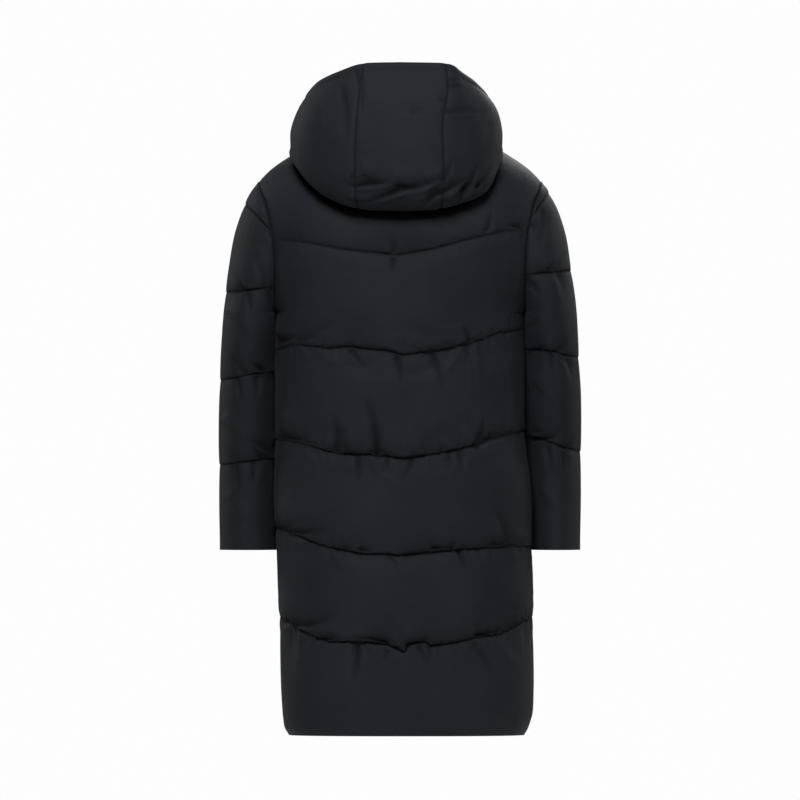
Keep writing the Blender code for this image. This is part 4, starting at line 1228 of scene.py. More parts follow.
@dataclass
class BodyPanel(Sewn):
    """The back, or one front, quilted across in V-shaped lines."""

    face: Face = Face.BACK
    side: Side | None = None
    folds: Folds = field(default_factory=list)
    seed: int = SEED
    rise: float = 12.0 * MM
    step: float = 3.4 * MM
    channel_rows: int = 46
    underarm_rows: int = 22
    arc_rows: tuple[int, int] = (40, 52)

    @property
    def edge(self) -> float:
        """Distance of the panel's middle edge from the centre line."""
        return 0.0 if self.face is Face.BACK else FRONT_EDGE

    @property
    def neck_depth(self) -> float:
        """Half depth of the neck seam's oval on the panel's side."""
        return NECK_BACK if self.face is Face.BACK else NECK_FRONT

    def rows(self) -> dict[str, Grid]:
        """Rows of the panel: channel, share in it, and the seam's level on both sides."""
        levels = [LINES[side] for side in SIDES]
        found: list[tuple[float, ...]] = []
        for k in range(YOKE - 1):
            for s in crowded(self.channel_rows):
                found.append((k, s, -1.0, 0.0, *(mix(at[k], at[k + 1], s) for at in levels)))
        low_parts = [(-1.0, s) for s in crowded(self.underarm_rows, CLOSE_ROWS, 0.0)]
        low_parts += [(s, 1.0) for s in crowded(self.arc_rows[0], 0.0, CLOSE_ROWS)]
        for s, below in low_parts:
            heights, shares = [], []
            for *_, low, top in levels:
                under_arm = mix(low, ARMPIT, below)
                on_arc = top - (top - ARMPIT) * math.cos(s * math.pi / 2)
                heights.append(under_arm if s < 0 else on_arc)
                shares.append((heights[-1] - low) / (top - low))
            found.append((YOKE - 1, sum(shares) / 2, s, 0.0, *heights))
        for s in (*crowded(self.arc_rows[1], CLOSE_ROWS, 0.4), 1.0):
            up = math.sin(s * math.pi / 2)
            heights = [at[YOKE] + (SHOULDER_END - at[YOKE]) * up for at in levels]
            found.append((YOKE, s, 1.0, s, *heights))
        names = ("line", "share", "turn", "high", *SIDES)
        return {name: np.array(values) for name, values in zip(names, zip(*found))}

    def columns(self) -> Grid:
        """Places across from the middle (0) to the side (1), evenly spaced on the widest round."""
        fine = np.linspace(0.0, 1.0, 4001)
        width, depth = 0.22, 0.15
        curve = np.stack([fine * width, depth * (1 - fine**2.5) ** 0.4], axis=-1)
        run = np.concatenate([[0.0], np.cumsum(np.linalg.norm(np.diff(curve, axis=0), axis=1))])
        reach = float(ARMHOLE.at("reach", SHOULDER_END)) - self.edge
        corner = (NECK_HALF_WIDTH - self.edge) / reach
        at = float(np.interp(corner, fine, run))
        near = np.linspace(0.0, at, max(int(at / self.step), 2))
        far = np.linspace(at, run[-1], int((run[-1] - at) / self.step))[1:]
        found = np.interp(np.concatenate([near, far]), run, fine)
        found[len(near) - 1] = corner
        return found

    def whole_columns(self) -> Grid:
        """The places with their signs, negative on the right."""
        half = self.columns()
        if self.side is None:
            return np.concatenate([-half[::-1], half[1:]])
        return half * self.side.value

    def line_height(self, line: Grid, c: Grid) -> Grid:
        """Height of quilting lines across the panel.

        Args:
            line: numbers of the lines, as a column of rows.
            c: places across.

        Returns:
            A height for each row and place.
        """
        line = np.minimum(line, YOKE)
        u = np.abs(c)[None, :]
        left = (c >= 0)[None, :]
        at = {name: values[line][:, None] for name, values in LINES.items()}
        ends = np.where(left, at["left"], at["right"])
        if self.face is Face.FRONT:
            return mix(at["tip"], ends, u)
        return self.drawn_lines(c)[line]

    @staticmethod
    def drawn_lines(c: Grid) -> Grid:
        """Heights of the back's lines across it, one row for each line, the hem first."""
        fine = np.linspace(-1.0, 1.0, 801)
        ease = np.exp(-(np.linspace(-1.6, 1.6, 11) ** 2))
        found = np.full((YOKE + 1, len(c)), HEM)
        for line, places in BACK_LINES.items():
            ends = [LINES[side][line] for side in ("right", "left")]
            reach = [BODY.at(side, end) for side, end in zip(("right", "left"), ends)]
            x = ((reach[1] - reach[0]) / 2 + fine * (reach[0] + reach[1]) / 2) / MM
            inside = [(a, b) for a, b in places if x[0] < a < x[-1]]
            knots = [(x[0], ends[0] / MM), *inside, (x[-1], ends[1] / MM)]
            drawn = np.interp(x, *np.array(knots).T)
            eased = np.convolve(np.pad(drawn, 5, "edge"), ease / ease.sum(), "valid")
            eased = mix(drawn, eased, fade((1.0 - np.abs(fine)) / 0.05))
            found[line] = np.interp(c, fine, eased) * MM
        return found

    def top_edge(self, c: Grid) -> tuple[Grid, Grid]:
        """The neck seam between its corners and the shoulder seam outside them.

        Args:
            c: places across.

        Returns:
            The edge's points, and how far along the neck's half width each one is.
        """
        reach = float(ARMHOLE.at("reach", SHOULDER_END)) - self.edge
        x = self.edge + np.abs(c) * reach
        inside = np.clip(x / NECK_HALF_WIDTH, 0.0, 1.0)
        depth = self.neck_depth * self.face.value
        in_neck = x < NECK_HALF_WIDTH - 1e-9
        y = np.where(in_neck, depth * np.sqrt(1.0 - inside**2), 0.0)
        z = np.where(in_neck, neck_plane(y), RIDGE.at("height", x))
        return np.stack([np.where(c < 0, -x, x), y, z], axis=-1), inside

    def envelope(self, c: Grid, rows: dict[str, Grid]) -> Grid:
        """Points of the panel's outermost surface.

        Args:
            c: places across.
            rows: what rows() gives.

        Returns:
            A grid of points.
        """
        u, left = np.abs(c)[None, :], (c >= 0)[None, :]
        arc = rows["turn"][:, None] >= 0
        reach = {}
        for side in SIDES:
            height = rows[side][:, None]
            near = np.maximum(fade((height - ARMPIT) / 0.05), fade((u - 0.9) / 0.1))
            body = BODY.at(side, height)
            reach[side] = np.where(arc, mix(body, ARMHOLE.at("reach", height), near), body)
        x = (reach["left"] - reach["right"]) / 2 + c * (reach["left"] + reach["right"]) / 2
        if self.face is Face.FRONT:
            x = np.where(left, 1.0, -1.0) * (
                self.edge + u * (np.where(left, reach["left"], reach["right"]) - self.edge)
            )
        low, top = self.line_height(rows["line"], c), self.line_height(rows["line"] + 1, c)
        own = np.tile(rows["share"][:, None], (1, len(c)))
        under = rows["line"] == YOKE - 1
        for side, here in (("left", c >= 0), ("right", c < 0)):
            a, b = LINES[side][YOKE - 1], LINES[side][YOKE]
            own[np.ix_(under, here)] = ((rows[side][under] - a) / (b - a))[:, None]
        z = mix(low, top, mix(rows["share"][:, None], own, u))
        yoke = rows["line"] == YOKE
        z[yoke] = self.line_height(np.full(int(yoke.sum()), YOKE), c)
        level = (rows["left"] + rows["right"])[:, None] / 2
        above = (level - (ARMPIT - 0.055)) / ((LINES["left"][YOKE] + 0.01) - (ARMPIT - 0.055))
        gentle = np.arcsin(np.clip(fade(above), 0.0, 1.0)) / (math.pi / 2)
        gentle = np.where(rows["turn"][:, None] >= 1.0, 1.0, gentle)
        sharp = np.where(arc, np.clip(rows["turn"], 0.0, 1.0)[:, None], 0.0)
        round_ = mix(gentle, sharp, fade((u - 0.88) / 0.12))
        end = ARMHOLE_DEPTH * np.sin(round_ * math.pi / 2)
        depth = BODY.at("back" if self.face is Face.BACK else "front", z)
        shaped = np.interp(round_, (0.0, 0.57, 1.0), (0.0, 0.5, 1.0))
        section = (1.0 - u ** mix(2.5, 3.0, shaped)) ** mix(0.4, 0.9, shaped)
        y = self.face.value * mix(end, depth, section)
        points = np.stack([x, y, z], axis=-1)
        start = points[np.flatnonzero(yoke)[0]]
        top_points, inside = self.top_edge(c)
        beyond = (np.abs(top_points[:, 0]) - NECK_HALF_WIDTH) / (SHOULDER_REACH - NECK_HALF_WIDTH)
        bend = np.where(beyond < 0, mix(52.0, 63.0, inside**3), mix(63.0, 90.0, beyond))
        bend = np.radians(bend)[None, :]
        angle = bend * rows["high"][yoke][:, None]
        fall = (1.0 - np.cos(angle)) / (1.0 - np.cos(bend))
        points[yoke, :, 1] = mix(start[:, 1], top_points[:, 1], fall)
        points[yoke, :, 2] = mix(start[:, 2], top_points[:, 2], np.sin(angle) / np.sin(bend))
        return kept_out(points, 1, self.face.value, JOIN)

    def cloth(self) -> Cloth:
        """The panel's grid with its quilting's depth and its inner skin."""
        c, rows = self.whole_columns(), self.rows()
        u, sign = np.abs(c), self.face.value
        skin = self.envelope(c, rows)
        out = grid_normals(skin, skin * (0.3, 1.0, 0.0) + (0.0, 0.02 * sign, 0.05))
        arc = rows["turn"] >= 0
        share = rows["share"][:, None]
        deep = mix(self.rise, BODY.at("side_puff", skin[..., 2]), u[None, :] ** 2)
        if self.face is Face.FRONT:
            deep = deep * fade((np.abs(skin[..., 0]) - PLACKET) / (30.0 * MM))
        deep = np.where(arc[:, None], deep * fade((1.0 - u) / 0.12)[None, :], deep)
        deep = np.where(rows["line"][:, None] == 0, deep * fade(share / 0.3), deep)
        deep = np.where(rows["line"][:, None] == YOKE, deep * fade((1.0 - share) / 0.6), deep)
        ends = [k for k in (0, len(c) - 1) if u[k] > 1.0 - 1e-9]
        for k in ends:
            out[~arc, k] = (math.copysign(1.0, c[k]), 0.0, 0.0)
        inner = skin - out * (deep + WALL)[..., None]
        for k in ends:
            side = "left" if c[k] > 0 else "right"
            depth, height = armhole_ring(rows[side][arc], side)
            x = math.copysign(1.0, c[k]) * ARMHOLE.at("reach", height)
            inner[arc, k] = np.stack([x, sign * np.maximum(depth, JOIN), height], axis=-1)
        top, inside = self.top_edge(c)
        ridge = inside >= 1.0 - 1e-9
        away = unit(top[:, :2] / (NECK_HALF_WIDTH**2, self.neck_depth**2))
        ring = top[:, :2] - away * WALL
        neck = np.stack([ring[:, 0], ring[:, 1], neck_plane(ring[:, 1])], axis=-1)
        under = np.where(ridge[:, None], skin[-1] - (0.0, 0.0, WALL), neck)
        inner[-1] = np.where((u > 1.0 - 1e-9)[:, None], inner[-1], under)
        if self.face is Face.FRONT:
            middle = int(np.argmin(u))
            inner[:, middle, 0] = self.side.value * FRONT_EDGE
            out[:, middle, 0] = 0.0
        kept_out(inner, 1, sign, JOIN)
        line_at = self.line_height(rows["line"], c)
        next_at = self.line_height(rows["line"] + 1, c)
        up = np.abs(skin[..., 2] - line_at)
        down = np.abs(next_at - skin[..., 2])
        yoke = rows["line"] == YOKE
        run = run_length(skin[yoke], 0)
        up[yoke], down[yoke] = run, run[-1] - run
        across = run_length(skin, 1)
        middle = int(np.argmin(u))
        across = across - across[:, middle : middle + 1]
        return Cloth(skin, out, deep, inner, rows["line"], up, down, across)

    def crease(self, cloth: Cloth) -> None:
        """Quilts, puckers and creases the panel's grid, and paints shade into its valleys and
        seams.

        Args:
            cloth: the grid.
        """
        rng = np.random.default_rng(self.seed)
        cloth.gather(BODY_QUILTING, rng)
        keep = fade((cloth.deep + 2.0 * MM) / (5.0 * MM))
        clear = 0.35 + 0.65 * fade(np.minimum(cloth.up, cloth.down) / (5.0 * MM))
        cloth.fold(self.folds, self.face, keep, 1.2 if self.side is None else 0.9, clear)
        cloth.shade(BODY_QUILTING, rng)
        if self.side is None:
            side = cloth.from_sides()
            self.under_hood(cloth)
        else:
            run = np.abs(cloth.across)
            side = np.abs(run - run.max(axis=1, keepdims=True))
        at = cloth.skin[..., 2]
        plump = np.maximum(fade((PLAIN_SEAM[0] - at) / 0.08), fade((at - PLAIN_SEAM[1]) / 0.05))
        cloth.seam(side, SEAM_DEPTH * plump, SEAM_REACH)
        # Painted shade along the side seam, from SHADED_FROM up
        cloth.paint_shade(0.6 * fade((at - SHADED_FROM) / 0.03) * hill(side, SEAM_SHADE))
        cloth.swell(fade(1.0 - side / 0.03))
        top = run_length(cloth.skin, 0)
        cloth.seam(top[-1:] - top, 1.6 * MM, SEAM_REACH)

    def under_hood(self, cloth: Cloth) -> None:
        """Presses the yoke in along the lowered hood's lower edge and paints the hood's shadow
        there.
        """
        shares = np.linspace(0.0, 0.5, 60)
        edge_x, edge_z = HOOD.at("low_x", shares), HOOD.at("low_z", shares)
        x, z = cloth.skin[..., 0], cloth.skin[..., 2]
        across = np.abs(x - HOOD_LEAN * (x / HOOD_HALF_WIDTH) ** 2)
        far = across - float(edge_x[-1])
        below = np.interp(across, edge_x, edge_z) - z
        wide = mix(13.0, 6.0, fade(across / 0.15)) * MM
        press = hill(np.clip(below - 1.0 * MM, 0.0, None), wide) * fade(1.0 - far / 0.01)
        room = mix(60.0, 20.0, fade((across - 0.09) / 0.05)) * MM
        press = press * fade((below + room) / (0.7 * room))
        yoke = (cloth.line == YOKE)[:, None]
        cloth.late -= 5.0 * MM * press * yoke
        # Painted shadow under the hood's lower edge
        cloth.paint_shade(0.85 * press * yoke)

    def make(self, material: bpy.types.Material) -> None:
        """Args:
            material: its finish.
        """
        cloth = self.cloth()
        self.crease(cloth)
        loose = cloth.looseness(BODY_QUILTING, np.random.default_rng(self.seed + 50))
        outer = cloth.outer(Rest(), cloth.sewn_down(5.0 * MM), loose)
        kept_out(outer, 1, self.face.value, JOIN)
        ridge = fade((np.abs(cloth.skin[-1, :, 0]) - NECK_HALF_WIDTH) / 0.02)
        outer[-1] = cloth.skin[-1] - ridge[:, None] * (0.0, 0.0, 1.5 * MM)
        if self.face is Face.FRONT:
            middle = int(np.argmin(np.abs(self.whole_columns())))
            outer[:, middle, 0] = self.side.value * FRONT_EDGE
        self.stitch_lines(cloth, outer)
        self.close(cloth, outer, material)


# ---------------------------------------------------------------- sleeves


SLEEVE_QUILTING = Quilting(
    lean=0.35,
    gathers={1: 1.0, 2: 1.0, 3: 0.8, 4: 0.5},
    above=Pucker(13 * MM, 4.6 * MM, 0.9 * MM, 16 * MM),
    below=Pucker(13 * MM, 4.4 * MM, 0.9 * MM, 22 * MM),
    droops={3: 3.0, 2: 4.2, 1: 5.0},
    reach=13 * MM,
    shades={1: 1.0, 2: 1.0, 3: 1.0, 4: 0.6},
    valley_shade=2.6 * MM,
    over=0.6,
    loose={4: (0.3, 0.4), 3: (0.8, 0.7), 2: (1.0, 0.8), 1: (1.0, 0.8)},
    loose_reach=30.0 * MM,
)


@dataclass
class Sleeve(Sewn):
    """A sleeve: a quilted tube below the armpit, open to the armhole above it."""

    side: Side = Side.LEFT
    seed: int = SEED + 3
    rise: float = 8.0 * MM
    turns: int = 124
    channel_rows: int = 42
    step: float = 3.4 * MM

    def arc_levels(self) -> Grid:
        """Places of the armhole's rows: 0 to 1 on its lower arc, 1 to 2 on its upper one."""
        top = LINES[self.side.label][YOKE]
        inner = SLEEVE_LINES[self.side][0]
        low = math.acos((top - inner[3]) / (top - ARMPIT)) / (math.pi / 2)
        high = math.asin((inner[4] - top) / (SHOULDER_END - top)) / (math.pi / 2)
        parts = [
            low * crowded(22, 0.0, CLOSE_ROWS),
            low + (1.0 - low) * crowded(18, CLOSE_ROWS, 0.0),
            1.0 + high * crowded(10, 0.0, CLOSE_ROWS),
            1.0 + high + (1.0 - high) * np.append(crowded(26, CLOSE_ROWS, 0.0), 1.0),
        ]
        return np.concatenate(parts)

    def rows(self) -> dict[str, Grid]:
        """Rows from the cuff up: channel, heights at the seam and outside, arcs of the armhole."""
        inner, outer = SLEEVE_LINES[self.side]
        top = LINES[self.side.label][YOKE]
        found: list[tuple[float, ...]] = []
        for k in range(2):
            found += [(k, mix(inner[k], inner[k + 1], s), -1.0) for s in crowded(self.channel_rows)]
        under = int((ARMPIT - inner[2]) / self.step)
        found += [(2, mix(inner[2], ARMPIT, s), -1.0) for s in crowded(under, CLOSE_ROWS, 0.0)]
        for s in self.arc_levels():
            if s <= 1.0:
                height = top - (top - ARMPIT) * math.cos(s * math.pi / 2)
            else:
                height = top + (SHOULDER_END - top) * math.sin((s - 1.0) * math.pi / 2)
            passed = int(height >= inner[3] - 1e-7) + int(height >= inner[4] - 1e-7)
            found.append((2 + passed, height, s))
        line, at, arc = (np.array(values) for values in zip(*found))
        share = (at - inner[line]) / (inner[line + 1] - inner[line])
        reach = mix(outer[line], outer[line + 1], share)
        return {"line": line, "share": share, "inner": at, "outer": reach, "arc": arc}

    def cloth(self) -> Cloth:
        """The sleeve's grid with its quilting's depth and its inner skin."""
        rows, way = self.rows(), self.side.value
        turns = np.linspace(1.0, -1.0, self.turns)[None, :]
        arc = rows["arc"][:, None]
        open_ = arc >= 0
        at, out_at = rows["inner"][:, None], rows["outer"][:, None]
        outer_reach = SLEEVE.at("outer", out_at)
        ahead = np.where(open_ & (arc < 1.0), np.cos(np.clip(arc, 0, 1) * math.pi / 2), 0.0)
        end = np.where(open_, np.arccos(-ahead), math.pi)
        inner_reach = np.where(
            open_, ARMHOLE.at("reach", at), BODY.at(self.side.label, at) + SLEEVE.at("off", at)
        )
        spread = np.where(open_, 1.0 + ahead, 2.0)
        half_width = np.maximum(outer_reach - inner_reach, 0.0) / spread
        upper = ARMHOLE_DEPTH * np.cos(np.clip(arc - 1.0, 0.0, 1.0) * math.pi / 2)
        half_depth = np.where(open_, upper, SLEEVE.at("half_depth", at))
        angle = turns * end
        x = outer_reach - half_width + half_width * np.cos(angle)
        ease = (1.0 - np.cos(angle)) / (1.0 - np.cos(end))
        held = ease * fade((at - FREE_FROM) / (ARMPIT - FREE_FROM))
        y = half_depth * np.sin(angle) - SLEEVE.at("forward", at) * (1.0 - held)
        z = mix(out_at, at, ease)
        skin = np.stack([way * x, y, z], axis=-1)
        skin[-1] = skin[-1, 0] * (1.0, 0.0, 1.0)
        flank = np.where(np.cos(angle) > 0, 0.35, 0.10)
        deep = self.rise * mix(flank, 1.0, np.sin(angle) ** 2)
        share = rows["share"][:, None]
        deep = np.where(rows["line"][:, None] == 0, deep * fade(share / 0.3), deep)
        high = np.clip(arc - 1.0, 0.0, 1.0)
        opened = deep * fade((1.0 - np.abs(turns)) / 0.22) * fade((1.0 - high) / 0.6)
        deep = np.where(open_, opened, deep)
        centre = skin.mean(axis=1, keepdims=True)
        out = grid_normals(skin, skin - centre + (0.02 * way, 0.0, 0.01))
        first = int(np.flatnonzero(rows["arc"] >= 0)[0])
        wrap = unit(
            np.cross(skin[:first, 1] - skin[:first, -2], np.gradient(skin[:, 0], axis=0)[:first])
        )
        wrap *= np.where(wrap[:, :1] * way > 0, -1.0, 1.0)
        out[:first, 0] = wrap
        out[:first, -1] = wrap
        inner = skin - out * (deep + WALL)[..., None]
        depth, heights = armhole_ring(rows["inner"][first:], self.side.label)
        reach = way * ARMHOLE.at("reach", heights)
        for column, sign in ((0, 1.0), (-1, -1.0)):
            inner[first:, column] = np.stack([reach, sign * depth, heights], axis=-1)
        inner[-1] = inner[-1, 0] * (1.0, 0.0, 1.0)
        kept_out(inner[first:], 0, way, ARMHOLE.at("reach", inner[first:, :, 2]))
        inner[: first + 1, -1] = inner[: first + 1, 0]
        inner[0, :, 2] = CUFF
        lines_in, lines_out = SLEEVE_LINES[self.side]
        k = rows["line"]
        low = mix(lines_out[k][:, None], lines_in[k][:, None], ease)
        high_at = mix(lines_out[k + 1][:, None], lines_in[k + 1][:, None], ease)
        up_by, down_by = np.abs(skin[..., 2] - low), np.abs(high_at - skin[..., 2])
        across = run_length(skin, 1)
        across = across - across[:, self.turns // 2 : self.turns // 2 + 1]
        return Cloth(skin, out, deep, inner, k, up_by, down_by, across)

    def make(self, material: bpy.types.Material) -> None:
        """Args:
            material: its finish.
        """
        cloth = self.cloth()
        first = int(np.flatnonzero(self.rows()["arc"] >= 0)[0])
        rng = np.random.default_rng(self.seed)
        cloth.gather(SLEEVE_QUILTING, rng)
        keep = fade((cloth.deep + 2.0 * MM) / (4.0 * MM))
        flank = fade((self.side.value * -cloth.out[..., 0] - 0.75) / 0.2)
        folds = SLEEVE_FOLDS[self.side]
        cloth.fold(folds, Face.BACK, keep, 0.85, 1.0 - flank)
        cloth.fold(folds, Face.FRONT, 0.6 * keep, 0.8, 1.0 - flank)
        cloth.shade(SLEEVE_QUILTING, rng)
        side = cloth.from_sides()
        closed = np.zeros_like(side)
        closed[:first] = 1.0
        cloth.seam(np.where(closed > 0, side + 0.02, side), SEAM_DEPTH, SEAM_REACH)
        # Painted shade along the armhole seam
        cloth.paint_shade(0.6 * (1.0 - closed) * hill(side, SEAM_SHADE))
        cloth.lift[:first, -1] = cloth.lift[:first, 0]
        loose = cloth.looseness(SLEEVE_QUILTING, np.random.default_rng(self.seed + 50))
        cloth.swell(flank)
        pinched = (*LINES[self.side.label][2:4], *SLEEVE_LINES[self.side][0][1:3])
        notch = sum(hill(cloth.skin[..., 2] - height, 8.0 * MM) for height in pinched)
        cloth.late += 2.4 * MM * np.minimum(notch, 1.0) * flank
        outer = cloth.outer(Rest(frames=12), cloth.sewn_down(3.0 * MM), loose)
        outer[0, :, 2] = CUFF
        kept_out(outer[first:], 0, self.side.value, ARMHOLE.at("reach", outer[first:, :, 2]))
        outer[: first + 1, -1] = outer[: first + 1, 0]
        outer[-1] = outer[-1, 0] * (1.0, 0.0, 1.0)
        self.stitch_lines(cloth, outer)
        cloth.painted_shade[:first, -1] = cloth.painted_shade[:first, 0]
        self.close(cloth, outer, material, first)


# ---------------------------------------------------------------- hood


@dataclass
class HoodPanel(Sewn):
    """One of the lowered hood's three pieces, between two places round the neck."""

    start: float = -HOOD_SEAM
    end: float = HOOD_SEAM
    count: int = 170
    row_count: int = 176
    rise: float = 6.0 * MM

    @property
    def ends_at_zip(self) -> bool:
        """Whether the panel runs on to the front edge."""
        return abs(self.end) == 1.0

    @staticmethod
    def meridian(share: float, steps: Grid, draw_in: float = 0.0) -> Grid:
        """Points of the hood's envelope at one place round the neck.

        Args:
            share: 0 at the centre back, 1 at the front edge, negative on the right.
            steps: places from the neck seam (0) to the rim (1).
            draw_in: how far the neck seam's oval is drawn in.

        Returns:
            A point for each step.
        """
        side, share = math.copysign(1.0, share), abs(share)
        turned = math.pi * share
        depth = NECK_BACK if share <= 0.5 else NECK_FRONT
        neck = np.array(
            [(NECK_HALF_WIDTH - draw_in) * math.sin(turned), (depth - draw_in) * math.cos(turned)]
        )
        low, belly, rim = (
            np.array([float(HOOD.at(f"{name}_{axis}", share)) for axis in "xy"])
            for name in ("low", "belly", "rim")
        )
        start = float(neck_plane(neck[1]))
        rise, low_z, rim_z = (float(HOOD.at(name, share)) for name in ("rise", "low_z", "rim_z"))
        places = np.array(
            [
                (*neck, start),
                (*mix(neck, low, RISE_PLACE[0]), start + RISE_PLACE[1] * rise),
                (*mix(neck, low, FALL_PLACE[0]), mix(start + rise, low_z, FALL_PLACE[1])),
                (*low, low_z),
                (*mix(low, belly, TURN_PLACE[0]), mix(low_z, rim_z, TURN_PLACE[1])),
                (*belly, mix(low_z, rim_z, BELLY_HEIGHT)),
                (*mix(belly, rim, CLOSE_PLACE[0]), mix(low_z, rim_z, CLOSE_PLACE[1])),
                (*rim, rim_z),
            ]
        )
        points = HoodPanel.through(places, steps)
        lean = HOOD_LEAN * (points[:, 0] / HOOD_HALF_WIDTH) ** 2 * fade(steps * 3.0)
        points[:, 0] = side * points[:, 0] + lean
        if side < 0:
            HoodPanel.lopsided(points, share, steps)
        return points

    @staticmethod
    def lopsided(points: Grid, share: float, steps: Grid) -> None:
        """Lets a meridian of the right side hang wider and lower than the left one's.

        Args:
            points: the meridian, changed in place.
            share: its place round the neck.
            steps: places from the neck seam (0) to the rim (1).
        """
        x, z = points[:, 0], points[:, 2].copy()
        flank, corner, top = (
            math.exp(-(((share - at) / wide) ** 2))
            for at, wide in ((0.40, 0.12), (0.31, 0.11), (0.15, 0.09))
        )
        x += 5.0 * MM * flank * fade((steps - 0.72) / 0.28)
        wide = 8.0 * MM * hill(z - 0.058, 0.035) + 4.0 * MM * hill(z + 0.01, 0.05)
        x -= flank * wide * fade(steps / 0.4)
        sag = 8.0 * MM * (corner * hill(z + 0.085, 0.04))
        x -= sag
        points[:, 2] -= sag
        x -= 18.0 * MM * (top * float(fade(share / 0.07))) * fade((z - 0.01) / 0.10)

    @staticmethod
    def through(places: Grid, steps: Grid) -> Grid:
        """Points of the curve through the places, spaced by the roots of their chords."""
        chord = np.sqrt(np.linalg.norm(np.diff(places, axis=0), axis=1))
        knots = np.concatenate([[0.0], np.cumsum(chord)])
        padded = np.vstack([2 * places[0] - places[1], places, 2 * places[-1] - places[-2]])
        times = np.concatenate([[-chord[0]], knots, [knots[-1] + chord[-1]]])
        at = (steps * knots[-1])[:, None]
        i = np.clip(np.searchsorted(knots, at[:, 0], side="right") - 1, 0, len(chord) - 1) + 1
        p = [padded[i + n] for n in (-1, 0, 1, 2)]
        k = [times[i + n][:, None] for n in (-1, 0, 1, 2)]

        def blend(a: Grid, b: Grid, start: Grid, end: Grid) -> Grid:
            """A point of the line from a to b at this step."""
            return a + (b - a) * (at - start) / (end - start)

        a1, a2, a3 = (blend(p[n], p[n + 1], k[n], k[n + 1]) for n in range(3))
        b1, b2 = blend(a1, a2, k[0], k[2]), blend(a2, a3, k[1], k[3])
        return blend(b1, b2, k[1], k[2])

    def cloth(self) -> Cloth:
        """The panel's grid with its fullness and its inner skin."""
        step = (self.end - self.start) / (self.count - 1)
        shares = np.linspace(self.start, self.end, self.count)
        padded = np.concatenate([[self.start - step], shares, [self.end + step]])
        padded = np.clip(padded, -1.0, 1.0)
        rows = np.linspace(0.0, 1.0, self.row_count)
        wide = np.stack([self.meridian(share, rows) for share in padded], axis=1)
        across, along = np.gradient(wide, axis=1), np.gradient(wide, axis=0)
        out = unit(np.cross(along, across))[:, 1:-1] * math.copysign(1.0, self.end - self.start)
        skin = wide[:, 1:-1]
        across = unit(across)[:, 1:-1]
        run = run_length(skin, 1)
        from_seam = np.minimum(run, run[:, -1:] - run)
        if self.ends_at_zip:
            from_seam = run
        deep = self.rise * fade(from_seam / 0.05) * fade(rows / 0.15)[:, None]
        deep = deep * fade((1.0 - rows) / 0.12)[:, None]
        if self.ends_at_zip:
            deep = deep * fade((run[:, -1:] - run - 0.012) / 0.03)
        inner = skin - out * (deep + WALL)[..., None]
        inner[0] = np.stack([self.meridian(s, np.zeros(1), WALL)[0] for s in shares])
        if self.ends_at_zip:
            for points in (skin, inner):
                points[:, -1, 0] = math.copysign(FRONT_EDGE, self.end)
        for points in (skin, inner):
            points[0, :, 2] = neck_plane(points[0, :, 1])
        up = run_length(skin, 0)
        line = np.zeros(self.row_count, int)
        return Cloth(skin, out, deep, inner, line, up, up[-1:] - up, run)

    def make(self, material: bpy.types.Material) -> None:
        """Args:
            material: its finish.
        """
        cloth = self.cloth()
        keep = fade(cloth.down / HOOD_HEM) * fade(cloth.up / (30.0 * MM))
        facing = cloth.skin[..., 1] > 0.03
        cloth.fold(HOOD_FOLDS, Face.BACK, keep * facing, 1.2)
        run = cloth.across
        for far in [run] if self.ends_at_zip else [run, run[:, -1:] - run]:
            cloth.seam(far, 2.2 * MM, 5.0 * MM)
            # Painted shade along the hood's seams
            cloth.paint_shade(0.4 * hill(far, 1.8 * MM))
        hem = np.abs(cloth.down - HOOD_HEM)
        cloth.lift -= 1.1 * MM * hill(hem, 2.2 * MM)
        cloth.lift -= 1.4 * MM * fade(1.0 - cloth.up / (6.0 * MM))
        cloth.lift += 1.0 * MM * hill(cloth.down - HOOD_HEM / 2, 5.0 * MM)
        outer = cloth.outer()
        outer[0] = cloth.skin[0]
        if self.ends_at_zip:
            outer[:, -1, 0] = math.copysign(FRONT_EDGE, self.end)
        row, columns = hem.argmin(axis=0), np.arange(self.count)
        self.stitches.append(outer[row, columns] + cloth.out[row, columns] * 0.3 * MM)
        self.close(cloth, outer, material)


# ---------------------------------------------------------------- repeated small things


